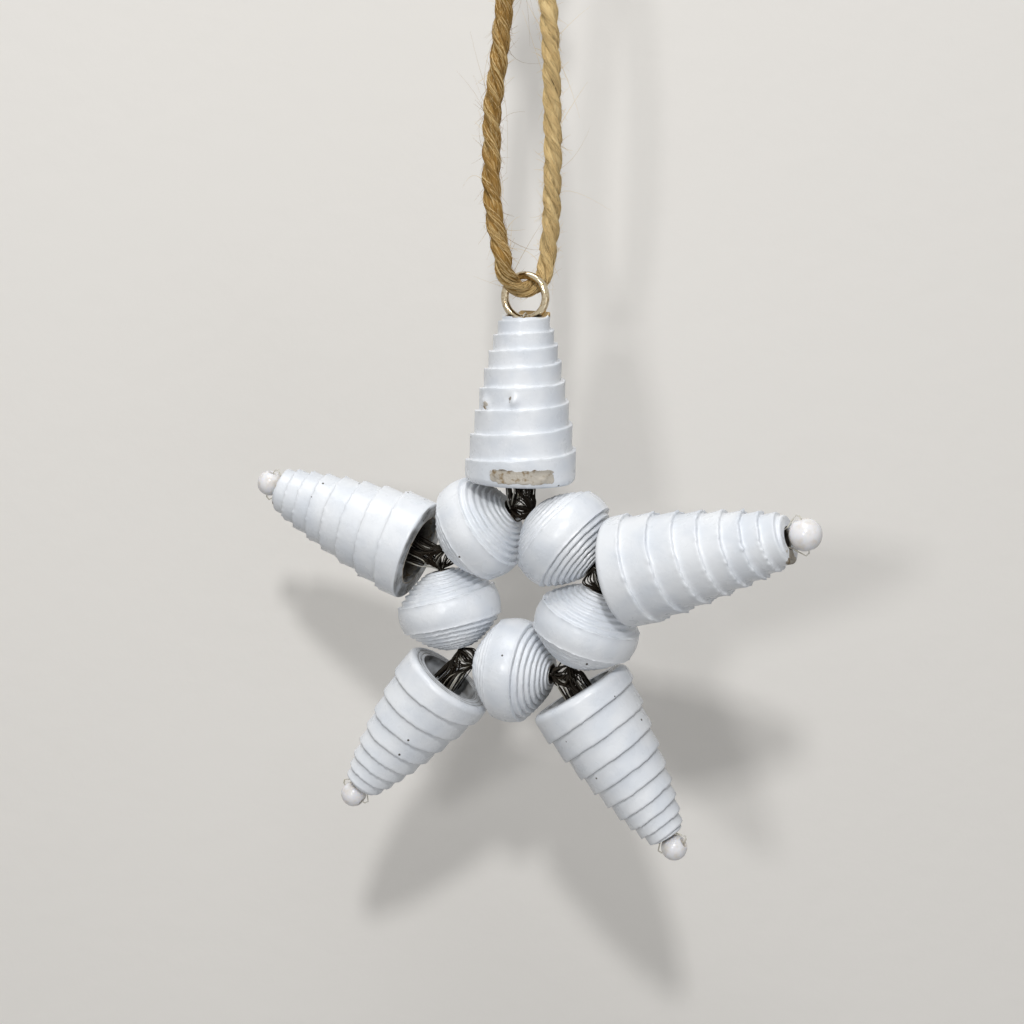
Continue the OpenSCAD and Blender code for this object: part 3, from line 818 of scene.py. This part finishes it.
def cone_rows(roll, own, finish, columns):
    """Rows over the outside of a cone, rows up its inside, and the radius of its hollow."""
    rows = roll.ledges(columns, *(finish[key] * MM for key in ("fillet", "rim", "groove", "burr")))
    rows = [(radius, height, finish["dirt_and_shade"] * groove) for radius, height, groove in rows]
    far = np.linalg.norm(own[:, :2], axis=1)
    hollow = float(far[own[:, 2] < SAME_LEVEL].min())
    depth = float(own[far < roll.bore + SAME_LEVEL, 2].min())
    for radius, height, groove in roll.foot_face(columns, finish["base_round"] * MM, hollow):
        rows.append((radius, height, np.minimum(groove + finish["base_dirt_and_shade"] * (height < BASE_LEVEL), 1)))
    level = np.ones_like(columns)
    inner = roll.hollow_wall(columns, hollow, depth)
    inner += [(roll.bore * level, z * level, level) for z in np.linspace(depth, 0.97 * roll.height, 4)]
    return rows, inner, hollow


def mark_top_cone(points, angle, radius, inside, roll):
    """Sinks the top cone's chip and raises the lip of its mouth. Gives how far each point lies in the chip,
    the lip, the pit, the scab and the stain, from 0 to 1."""
    marks = [
        nearness(np.radians(angle), points[:, 2], radius, *mark) for mark in (TOP_PIT, TOP_SCAB, TOP_STAIN)
    ]
    outside = smoothstep((radius - CHIP_RADIUS) / (0.4 * MM))
    chip = window(angle, *CHIP_ROUND) * window(points[:, 2], *CHIP_UP) * outside
    lip = window(angle, *LIP_ROUND) * smoothstep((points[:, 2] - roll.height + 0.3 * MM) / (0.2 * MM))
    lip = lip * (radius < roll.top + 0.5 * MM) * (1 - inside)
    points[:, :2] *= (1 - CHIP_DEPTH * chip / np.maximum(radius, MM))[:, None]
    points[:, 2] += LIP_RISE * lip * smoothstep((radius - LIP_RADIUS) / (0.1 * MM))
    return chip, lip, *marks


def make_cone(name, number, material):
    """One ray of the star."""
    card = settings("card")
    finish = CONE_FINISH[name]
    is_top = name == "ray_top"
    rng = np.random.default_rng(CONE_LUCK + number)
    own = own_points(name)
    roll = Roll(own, float(own[:, 2].max()), card.cone_hem, card.cone_card, rng)
    columns = np.arange(card.columns + 1) / card.columns
    rows, inner, hollow = cone_rows(roll, own, finish, columns)
    oval = CONE_OVAL * waves(rng, (2, 3))(columns)
    points, faces, groove, inside = roll_mesh(rows, inner, columns, oval, TOP_LUMPS if is_top else ())
    radius = np.linalg.norm(points[:, :2], axis=1)
    angle = np.degrees(np.arctan2(points[:, 1], points[:, 0]))
    chip, lip, pit, scab, stain = np.zeros((5, len(points)))
    if is_top:
        chip, lip, pit, scab, stain = mark_top_cone(points, angle, radius, inside, roll)
    up = points[:, 2]
    at_foot = (up < BASE_LEVEL) * (1 - inside)
    foot_bare = at_foot * smoothstep((hollow + finish["bare_rim"] * MM - radius) / (0.5 * MM))
    at_mouth = smoothstep((up - roll.height + 0.35 * MM) / (0.3 * MM)) * (1 - inside)
    mouth_bare = finish["bare_mouth"] * at_mouth * smoothstep((roll.top - 0.1 * MM - radius) / (0.4 * MM))
    turned = np.abs((angle - finish["flake"] + 180) % 360 - 180)
    flake = smoothstep((FLAKE_HALF - turned) / FLAKE_SOFT)
    flake = flake * smoothstep((up - roll.height + FLAKE_DROP) / (0.9 * MM))
    # The brush reaches into the hollow, to a wavy edge
    wavy = 1 + 0.25 * np.sin(np.radians(3 * angle)) + 0.15 * np.sin(np.radians(7 * angle))
    reach = finish["reach"] * MM * wavy
    unpainted = inside * smoothstep((up - reach) / (0.9 * MM))
    bare = np.maximum.reduce([chip, lip, foot_bare, mouth_bare, unpainted, pit, 0.75 * scab, 0.8 * flake])
    # Past the paint's reach the hollow is painted dark as shade, and so is the pit's bare bottom
    deep = inside * smoothstep((up - reach) / (2.2 * MM)) * (1 - lip)
    # A painted shadow line along the chip's top edge, under the turn above
    chip_shadow = chip * smoothstep((up - CHIP_SHADOW) / (0.2 * MM))
    dark = np.maximum.reduce([deep, 0.7 * pit, 0.45 * flake, 0.6 * stain * chip, chip_shadow])
    place_roll(new_piece(
        name.replace("ray", "card_cone"), points, faces, material,
        {"groove": groove, "bare": bare, "depth": dark, "raw": lip},
    ), name)


def make_round_bead(name, number, material):
    """One round bead of the star's middle."""
    card = settings("card")
    rng = np.random.default_rng(BEAD_LUCK + number)
    own = own_points(name)
    half = float(own[:, 2].max())
    columns = np.arange(card.columns + 1) / card.columns
    level = np.ones_like(columns)
    sides = []
    for finish in BEAD_FINISH[name]:
        roll = Roll(own, half, card.bead_hem, card.bead_card, rng)
        roll.wobble = BEAD_STRAY * card.wobble
        rows = roll.ledges(columns, finish["fillet"] * MM, card.bead_rim, finish["groove"] * MM, BEAD_BURR)
        rows = [(radius, height, finish["dirt_and_shade"] * groove) for radius, height, groove in rows]
        outer = roll.radius(roll.last + columns)
        for share in (0.9, 0.75, 0.5, 0.25):
            crown = (1 - share ** 2) * card.bead_crown
            rows.append((outer + crown, share * card.bead_hem * level, 0 * level))
        sides.append([(radius, up + card.coat * up / half, groove) for radius, up, groove in rows])
    front, back = sides
    rows = front + [(outer + card.bead_crown, 0 * level, 0 * level)]
    rows += [(radius, -height, groove) for radius, height, groove in reversed(back)]
    inner = [(roll.bore * level, share * half * level, level) for share in (-0.9, -0.3, 0.3, 0.9)]
    oval = BEAD_OVAL * waves(rng, (2, 3))(columns)
    points, faces, groove, inside = roll_mesh(rows, inner, columns, oval)
    radius = np.linalg.norm(points[:, :2], axis=1)
    bare = smoothstep((BEAD_BARE - radius) / (0.5 * MM))
    # The bead's hole and the card round it are painted dark as shade
    depth = np.maximum(inside, smoothstep((BEAD_SHADE - radius) / (0.4 * MM)))
    place_roll(new_piece(
        name.replace("bead", "card_bead"), points, faces, material,
        {"groove": groove, "bare": bare, "depth": depth},
    ), name)


# Twine

def paleness(share):
    """How pale the jute is at a share of the loop's length: its second half is drawn paler."""
    return PALER * smoothstep((share - PALE_FROM) / PALE_OVER) - 0.08


def laid_twine(path, rng, twine):
    """Ringed points of each ply of a laid twine along a path, with the values that its fibre needs."""
    a, b = turning_frames(path)
    along = distances(path)
    ply_r = PLY_SHARE * twine.diameter
    out = 0.5 * twine.diameter - ply_r
    sides = twine.ply_sides
    turns = np.arange(sides) / sides
    tubes, values = [], {key: [] for key in FIBRE_VALUES}
    for ply in range(twine.plies):
        thick, wander = waves(rng, (0.11, 0.27, 0.6)), waves(rng, (0.17, 0.41, 0.9))
        relief = waves(rng, (3, 5, 6))
        twist = 0.3 * wander(along / PLY_CHANGE) - FULL_TURN * (along / twine.lead + ply / twine.plies)
        centre = path + out * (a * np.cos(twist)[:, None] + b * np.sin(twist)[:, None])
        swell = 1 + 0.12 * thick(along / PLY_CHANGE)[:, None]
        fibre = 1 + 0.08 * relief(turns[None, :] + 0.15 * along[:, None] / PLY_CHANGE)
        rings = tube_points(centre, ply_r * swell * fibre, sides)
        inward = np.linalg.norm(rings - path[:, None], axis=2)
        # Painted shade where a ply turns in toward the twine's middle, between the plies
        depth = 0.8 * smoothstep((0.82 * twine.diameter / 2 - inward) / (0.3 * twine.diameter / 2))
        tubes.append(rings)
        values["along"].append(np.repeat(along + 0.05 * ply, sides))
        values["around"].append(np.tile(turns + 3 * ply, len(path)))
        values["depth"].append(depth.reshape(-1))
        values["pale_shift"].append(np.repeat(paleness(along / along[-1]), sides))
    return tubes, values


def hair_rings(start, way, length, bend, thickness):
    """One thin curved hair that tapers to a point, as three-sided rings."""
    shares = np.linspace(0, 1, 7)[:, None]
    path = start + way * length * shares + bend * length * shares ** 2
    return tube_points(path, thickness / 2 * (1 - 0.75 * shares[:, 0]), 3)


def lying_fibres(path, rng, twine):
    """Loose fibres that lie along the plies, a little off them, with each one's share of the way along."""
    a, b = turning_frames(path)
    along = distances(path)
    ply_r = PLY_SHARE * twine.diameter
    out = 0.5 * twine.diameter - ply_r
    fibres, shares = [], []
    for _ in range(twine.fibres):
        first = rng.integers(1, len(path) - 8)
        last = min(first + rng.integers(6, 18), len(path) - 1)
        ply = rng.integers(twine.plies)
        swing = np.linspace(rng.uniform(-1, 1), rng.uniform(-1, 1), last - first)
        turn = swing - FULL_TURN * (along[first:last] / twine.lead + ply / twine.plies)
        far = out * np.cos(swing) + np.sqrt(ply_r ** 2 - (out * np.sin(swing)) ** 2)
        lift = 1 + np.linspace(0.02, rng.uniform(0.02, 0.22), last - first) * rng.uniform(0.3, 1)
        across = a[first:last] * np.cos(turn)[:, None] + b[first:last] * np.sin(turn)[:, None]
        thick = twine.hair * rng.uniform(0.7, 1.3) * np.sin(np.linspace(0.35, 2.8, last - first))
        fibres.append(tube_points(path[first:last] + across * (far * lift)[:, None], thick, 3))
        shares.append(first / len(path))
    return fibres, shares


def twine_hairs(path, rng, twine, fuzz, stray):
    """Short hairs that lie close to the twine and a few long ones that stand off it, with each one's share of
    the way along."""
    a, b = turning_frames(path)
    ahead = np.gradient(path, axis=0)
    ahead /= np.linalg.norm(ahead, axis=1)[:, None]
    hairs, shares = [], []
    for number in range(fuzz + stray):
        long = number >= fuzz
        i = rng.integers(2, len(path) - 2)
        turn = rng.uniform(0, FULL_TURN)
        out = a[i] * math.cos(turn) + b[i] * math.sin(turn)
        sense = rng.choice((-1, 1))
        lift = rng.uniform(0.2, 0.9) if long else rng.uniform(0.1, 0.8)
        way = ahead[i] * sense + out * lift + rng.normal(0, 0.25, 3)
        way /= np.linalg.norm(way)
        length = rng.uniform(*(STRAY_LENGTH if long else FUZZ_LENGTH)) * MM
        bend = rng.normal(0, 0.5 if long else 0.3, 3)
        start = path[i] + out * 0.46 * twine.diameter
        rings = hair_rings(start, way, length, bend, twine.hair * rng.uniform(0.6, 1.1))
        if rings[..., 2].min() > HAIR_FLOOR:
            hairs.append(rings)
            shares.append(i / len(path))
    return hairs, shares


def hair_values(hairs, shares, rng):
    """The fibre values of hairs: each one has its own streak, it is about as pale as the twine there, and
    none gets the painted shade between the plies."""
    counts = [hair.shape[0] * hair.shape[1] for hair in hairs]
    along = np.repeat(rng.uniform(0, 0.2, len(hairs)), counts)
    around = np.repeat(rng.uniform(0, 9, len(hairs)), counts)
    pale_shift = np.repeat(paleness(np.array(shares)) + rng.uniform(-0.15, 0.35, len(hairs)), counts)
    return {"along": along, "around": around, "depth": np.zeros(len(along)), "pale_shift": pale_shift}


def joined_values(values):
    """Lists of values for several tubes as one row for each name."""
    return {key: np.concatenate(parts) for key, parts in values.items()}


# Operators

class STAR_OT_stage(bpy.types.Operator):
    """Camera, soft studio light, and a plain pale wall and floor"""

    bl_idname = "star.stage"
    bl_label = "Stage"

    def execute(self, context):
        stage = settings("stage")
        middle = sum((Vector(JOINTS[name + "_turn"]["pos_m"]) for name in BEADS), Vector()) / len(BEADS)
        level = Vector((math.sin(stage.azimuth), -math.cos(stage.azimuth), 0))
        toward = level * math.cos(stage.elevation) + UP * math.sin(stage.elevation)
        right = UP.cross(level).normalized()
        self.place_camera(context, stage, middle, toward, right)
        self.hang_lamps(context, middle, level, right)
        self.build_backdrop(context, stage, middle, level, right)
        self.fill_world(context, stage)
        context.scene.view_settings.view_transform = "Standard"
        return {"FINISHED"}

    def place_camera(self, context, stage, middle, toward, right):
        """A camera that looks at the star's middle, which lies a little off the picture's middle."""
        basis = Matrix((right, toward.cross(right), toward)).transposed().to_4x4()
        basis = basis @ Matrix.Rotation(stage.aim_down, 4, "X") @ Matrix.Rotation(stage.aim_right, 4, "Y")
        basis.translation = middle + toward * stage.distance
        camera = bpy.data.cameras.new("camera")
        camera.lens = stage.lens
        camera.clip_start = 0.01
        holder = bpy.data.objects.new("camera", camera)
        holder.matrix_world = basis
        context.scene.collection.objects.link(holder)
        context.scene.camera = holder

    def hang_lamps(self, context, middle, level, right):
        """Square lamps that all face the star's middle."""
        for name, (forward, sideways, rise, size, watts, hex_colour) in LAMPS.items():
            offset = level * forward + right * sideways + UP * rise
            lamp = bpy.data.lights.new(name, "AREA")
            lamp.size = size
            lamp.energy = watts
            lamp.color = linear(hex_colour)[:3]
            holder = bpy.data.objects.new(name, lamp)
            holder.location = middle + offset
            holder.rotation_euler = offset.to_track_quat("Z", "Y").to_euler()
            context.scene.collection.objects.link(holder)

    def build_backdrop(self, context, stage, middle, level, right):
        """A wall that curves into a floor. It shows only from its front, and lets the lamps past."""
        foot = middle - level * stage.wall_gap
        bend = [math.pi / 2 * i / 12 for i in range(1, 12)]
        profile = [(0, WALL_TOP), (0, COVE - FLOOR_DROP)]
        profile += [(COVE - COVE * math.cos(t), COVE - COVE * math.sin(t) - FLOOR_DROP) for t in bend]
        profile += [(COVE, -FLOOR_DROP), (FLOOR_DEPTH, -FLOOR_DROP)]
        points = [
            foot + level * out + UP * rise + right * side
            for out, rise in profile for side in (-WALL_HALF, WALL_HALF)
        ]
        faces = grid_faces(len(profile), 2, False, False)
        mesh = bpy.data.meshes.new("backdrop")
        mesh.from_pydata([tuple(p) for p in points], [], [tuple(reversed(f)) for f in faces])
        mesh.polygons.foreach_set("use_smooth", [True] * len(mesh.polygons))
        mesh.materials.append(self.matt_emulsion_wall(stage))
        backdrop = bpy.data.objects.new("backdrop", mesh)
        context.scene.collection.objects.link(backdrop)
        backdrop.visible_shadow = False
        backdrop.visible_diffuse = False

    def matt_emulsion_wall(self, stage):
        """Matt emulsion rolled on a smooth wall: plain, pale and dull, and clear from behind."""
        material, shade, add = new_material("matt_emulsion_wall")
        # The roller's stipple is a millimetre or two across, and is drawn coarser so that it shows
        place = add("TexCoord", out="Object")
        stipple = add("TexNoise", {"Scale": 1 / (5 * MM), "Detail": 4.0, "Vector": place})
        shade({
            "Base Color": stage.wall,
            "Roughness": 0.9,
            "Specular IOR Level": 0.2,
            "Normal": add("Bump", {"Strength": 0.35, "Distance": 0.25 * MM, "Height": stipple}),
        })
        tree = material.node_tree
        front = tree.nodes["Principled BSDF"].outputs[0]
        away = add("NewGeometry", out="Backfacing")
        sides = add("MixShader", {0: away, 1: front, 2: add("BsdfTransparent")})
        set_sockets(tree, tree.nodes["Material Output"], {"Surface": sides})
        return material

    def fill_world(self, context, stage):
        """A plain surround: at full strength to the camera and in what the star mirrors, and a dim light."""
        world = bpy.data.worlds.new("plain_surround")
        world.use_nodes = True
        tree = world.node_tree
        seen = add_node(tree, "LightPath", out="Is Camera Ray")
        rays = seen.node.outputs
        for kind in ("Is Glossy Ray", "Is Transmission Ray"):
            seen = add_node(tree, "Math", {0: seen, 1: rays[kind]}, operation="MAXIMUM")
        strength = add_node(tree, "MapRange", {0: seen, 3: stage.glow, 4: 1.0})
        set_sockets(tree, tree.nodes["Background"], {"Color": stage.sky, "Strength": strength})
        context.scene.world = world


class STAR_OT_twine(bpy.types.Operator):
    """Loop of jute twine with its hairs, its knot and the knot's loose ends"""

    bl_idname = "star.twine"
    bl_label = "Twine"

    def execute(self, context):
        twine = settings("twine")
        rng = np.random.default_rng(TWINE_LUCK)
        material = jute_fibre()
        path = smooth_path([Vector(p) * MM for p in TWINE_ROUTE], twine.step)
        tubes, values = laid_twine(path, rng, twine)
        points, faces = capped_tubes(tubes)
        loop = new_piece("jute_loop", points, faces, material, joined_values(values))
        fibres, fibre_shares = lying_fibres(path, rng, twine)
        hairs, hair_shares = twine_hairs(path, rng, twine, twine.fuzz, twine.stray)
        points, faces = capped_tubes(fibres + hairs)
        loose = hair_values(fibres + hairs, fibre_shares + hair_shares, rng)
        fluff = new_piece("jute_hairs", points, faces, material, loose)
        knot = self.tie_knot(twine, rng, material)
        for piece in (loop, fluff, knot):
            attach(piece, "hanging_loop")
        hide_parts("twine_loop")
        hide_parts("twine_knot")
        return {"FINISHED"}

    def tie_knot(self, twine, rng, material):
        """Wraps round both strands, with a loose end standing out on each side."""
        low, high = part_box("twine_knot")
        foot = Vector(TWINE_ROUTE[0]) * MM
        wrap_r = (high.x - low.x) / 2 - twine.diameter / 2
        turns = np.linspace(0, 1, WRAP_POINTS * twine.wraps)
        last_end = smoothstep((turns - (1 - TUCK)) / TUCK)
        tuck = 1 - TUCK_IN * (1 - smoothstep(turns / TUCK)) - TUCK_IN * last_end
        angle = FULL_TURN * twine.wraps * turns + 0.4
        uneven = 0.25 * np.sin(angle + 1) * turns * (1 - turns)
        rise = foot.z + twine.diameter * (0.5 + (twine.wraps - 1) * turns + uneven)
        wraps = np.stack([wrap_r * tuck * np.cos(angle), wrap_r * tuck * np.sin(angle), rise], axis=1)
        ropes = [smooth_path(wraps, twine.step)]
        top = foot.z + twine.wraps * twine.diameter
        for side in (-1, 1):
            lean = side * math.tan(TAIL_LEAN) * twine.tail
            apart = side * 0.6 * twine.diameter
            ropes.append(smooth_path([
                (-side * foot.x, 0, foot.z),
                (apart, 0, (foot.z + top) / 2),
                (side * 0.55 * twine.diameter, 0, top),
                (apart + 0.5 * lean, 0.4 * MM * side, top + 0.5 * twine.tail),
                (apart + lean, 0.9 * MM * side, top + twine.tail),
            ], twine.step))
        tubes, values = [], {key: [] for key in FIBRE_VALUES}
        for rope in ropes:
            some, more = laid_twine(rope, rng, twine)
            tubes += some
            for key in values:
                values[key] += more[key]
        frayed = []
        for rope in ropes[1:]:
            way = (rope[-1] - rope[-3]) / np.linalg.norm(rope[-1] - rope[-3])
            for _ in range(CUT_HAIRS):
                start = rope[-1] + rng.normal(0, 0.3 * twine.diameter, 3) - way * 0.5 * MM
                bend = rng.normal(0, 0.4, 3)
                length = rng.uniform(*CUT_LENGTH) * MM
                frayed.append(hair_rings(start, way, length, bend, twine.hair))
            frayed += twine_hairs(rope, rng, twine, *TAIL_HAIRS)[0]
        frayed += twine_hairs(ropes[0], rng, twine, *WRAP_HAIRS)[0]
        for key, row in hair_values(frayed, [0] * len(frayed), rng).items():
            values[key].append(row)
        points, faces = capped_tubes(tubes + frayed)
        return new_piece("jute_knot", points, faces, material, joined_values(values))


class STAR_OT_ring(bpy.types.Operator):
    """Wire ring at the top ray, with its cut ends down in the mouth of the cone"""

    bl_idname = "star.ring"
    bl_label = "Ring"

    def execute(self, context):
        low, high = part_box("hanging_ring")
        wire_r = (high.y - low.y) / 2
        ring_r = (high.z - low.z) / 2 - wire_r
        middle = (low + high) / 2
        half_cut = RING_CUT / 2 / ring_r
        turns = np.linspace(RING_CUT_TURN + half_cut, RING_CUT_TURN + FULL_TURN - half_cut, RING_ROWS)
        path = np.stack([
            middle.x + ring_r * np.cos(turns),
            np.full_like(turns, middle.y),
            middle.z + ring_r * np.sin(turns),
        ], axis=1)
        points, faces = capped_tubes([tube_points(path, np.full(len(path), wire_r), RING_SIDES)])
        ring = new_piece("wire_ring", points, faces, gold_plated_wire())
        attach(ring, "ring")
        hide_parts("hanging_ring")
        return {"FINISHED"}


class STAR_OT_cones(bpy.types.Operator):
    """The five rays, each a cone of rolled and painted card"""

    bl_idname = "star.cones"
    bl_label = "Cones"

    def execute(self, context):
        material = white_enamel_on_card()
        for number, name in enumerate(RAYS):
            make_cone(name, number, material)
        return {"FINISHED"}


class STAR_OT_round_beads(bpy.types.Operator):
    """The five round beads of rolled and painted card in the middle of the star"""

    bl_idname = "star.round_beads"
    bl_label = "Round beads"

    def execute(self, context):
        material = bpy.data.materials["white_enamel_on_card"]
        for number, name in enumerate(BEADS):
            make_round_bead(name, number, material)
        return {"FINISHED"}


class STAR_OT_tip_beads(bpy.types.Operator):
    """The small pearls at the tips of four rays"""

    bl_idname = "star.tip_beads"
    bl_label = "Tip beads"

    def execute(self, context):
        material = moulded_pearl()
        for name in TIP_BEADS:
            own = own_points(name)
            far = np.linalg.norm(own, axis=1)
            ball_r, hole_r = float(far.max()), float(np.linalg.norm(own[:, :2], axis=1).min())
            # From the middle of the hole, round its edge and over the ball to the other edge
            start = math.acos((hole_r + PEARL_LIP) / ball_r)
            end = ball_r * math.sin(start) - 0.6 * PEARL_LIP
            profile = [(hole_r, 0), (hole_r, end - PEARL_LIP), (hole_r + 0.3 * PEARL_LIP, end)]
            turns = np.linspace(start, -start, PEARL_ROWS)
            profile += [(ball_r * math.cos(t), ball_r * math.sin(t)) for t in turns]
            profile += [(hole_r + 0.3 * PEARL_LIP, -end), (hole_r, PEARL_LIP - end)]
            angles = -FULL_TURN * np.arange(PEARL_COLUMNS) / PEARL_COLUMNS
            points = np.array([
                (radius * math.cos(a), radius * math.sin(a), up) for radius, up in profile for a in angles
            ])
            faces = grid_faces(len(profile), PEARL_COLUMNS, True, True)
            place_roll(
                new_piece(name.replace("tip_bead", "pearl"), points, faces, material), name
            )
        return {"FINISHED"}


class STAR_OT_line(bpy.types.Operator):
    """The nylon line with its knot, and its loose strands in the gaps between beads and cones, most of them
    dark as painted shade
    """

    bl_idname = "star.line"
    bl_label = "Stringing line"

    def execute(self, context):
        trim = settings("trim")
        rng = np.random.default_rng(LINE_LUCK)
        material = nylon_line()
        for node, name in (("stringing_line", "nylon_run"), ("line_knot", "nylon_knot")):
            run = self.thin_run(node, name, material, trim.line_thin)
            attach(run, "string")
            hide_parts(node)
        half = float(own_points(BEADS[0])[:, 2].max())
        strands, tones = [], []
        for ray in RAYS:
            base, out = self.place_and_way(ray)
            ends = []
            for middle, way in map(self.place_and_way, BEADS):
                ends += [(middle + way * half * s, way * s) for s in (-1, 1)]
            ends.sort(key=lambda end: (end[0] - base).length)
            for number in range(3 * trim.strands):
                side = BACKWARD * rng.uniform(-STRAND_SPREAD, STRAND_SPREAD) * MM
                if number < trim.strands:
                    corners = self.across_gap(*ends[0], *ends[1], out, side, rng)
                else:
                    corners = self.into_cone(*ends[number % 2], base, out, side, rng)
                path = smooth_path(corners, STRAND_STEP)
                radius = trim.strand / 2 * rng.uniform(0.7, 1.3)
                rings = tube_points(path, np.full(len(path), radius), STRAND_SIDES)
                strands.append(rings)
                # Most strands are dark, to paint the shade deep in the gaps
                tone = rng.uniform(0, 0.6) if number % CLEAN_STRAND == 0 else rng.uniform(0.96, 1)
                tones.append(np.full(rings.shape[0] * rings.shape[1], tone))
        points, faces = capped_tubes(strands)
        loose = new_piece(
            "line_strands", points, faces, material, {"tone": np.concatenate(tones)}
        )
        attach(loose, "string")
        return {"FINISHED"}

    def place_and_way(self, body):
        """Where a roll's joint is, and which way its axis points."""
        joint = JOINTS[body + "_turn"]
        return Vector(joint["pos_m"]), Vector(joint["axis"])

    def thin_run(self, node, name, material, shrink):
        """The solid of a run of line with its skin drawn in, since a clear line looks thinner than it is."""
        mesh = frame["nodes"][node].data
        points = np.array([v.co for v in mesh.vertices])
        points, faces, _ = weld(points, [list(face.vertices) for face in mesh.polygons])
        normals = np.zeros_like(points)
        for face in faces:
            a, b, c = points[face[0]], points[face[1]], points[face[2]]
            normals[face] += np.cross(b - a, c - a)
        normals /= np.maximum(np.linalg.norm(normals, axis=1), 1e-15)[:, None]
        return new_piece(name, points - shrink * normals, faces, material)

    def into_cone(self, start, way, base, out, side, rng):
        """Corners of a loose strand from a bead's hole into the hollow of a cone."""
        apart = -way * rng.uniform(-0.3, 2.6) * MM
        return [
            start - way * STRAND_TUCK * MM,
            start + way * STRAND_BEND * MM + side * 0.25,
            start + way * rng.uniform(0.5, 1.2) * MM + out * rng.uniform(0.8, 1.8) * MM + side * 0.8,
            base - out * rng.uniform(0.4, 1.2) * MM + side + apart * 0.8,
            base + out * STRAND_END * MM + side * 0.7 + apart,
        ]

    def across_gap(self, start, way, far_start, far_way, out, side, rng):
        """Corners of a loose strand from one bead's hole into the next one's."""
        middle = (start + far_start) / 2 + out * rng.uniform(-1.6, 2.6) * MM + side
        return [
            start - way * STRAND_TUCK * MM,
            start + way * STRAND_BEND * MM + side * 0.3,
            middle,
            far_start + far_way * STRAND_BEND * MM + side * 0.3,
            far_start - far_way * STRAND_TUCK * MM,
        ]


class STAR_PT_panel(bpy.types.Panel):
    """Lists the pieces of the star"""

    bl_idname = "STAR_PT_panel"
    bl_label = "Rolled card star"
    bl_space_type = "VIEW_3D"
    bl_region_type = "UI"
    bl_category = "Star"

    def draw(self, context):
        for operator in OPERATORS:
            self.layout.operator(operator.bl_idname)


OPERATORS = (
    STAR_OT_stage,
    STAR_OT_twine,
    STAR_OT_ring,
    STAR_OT_cones,
    STAR_OT_round_beads,
    STAR_OT_tip_beads,
    STAR_OT_line,
)
GROUPS = {"card": StarCard, "paint": StarPaint, "twine": StarTwine, "trim": StarTrim, "stage": StarStage}


def register():
    """Registers the classes and hangs the settings on the scene."""
    for item in (*GROUPS.values(), *OPERATORS, STAR_PT_panel):
        bpy.utils.register_class(item)
    for name, group in GROUPS.items():
        setattr(bpy.types.Scene, "star_" + name, PointerProperty(type=group))


def unregister():
    """Takes the settings and the classes away again."""
    for name in GROUPS:
        delattr(bpy.types.Scene, "star_" + name)
    for item in reversed((*GROUPS.values(), *OPERATORS, STAR_PT_panel)):
        bpy.utils.unregister_class(item)


def main():
    """Makes every piece in order."""
    register()
    bpy.ops.star.stage()
    bpy.ops.star.twine()
    bpy.ops.star.ring()
    bpy.ops.star.cones()
    bpy.ops.star.round_beads()
    bpy.ops.star.tip_beads()
    bpy.ops.star.line()


if __name__ == "__main__":
    main()
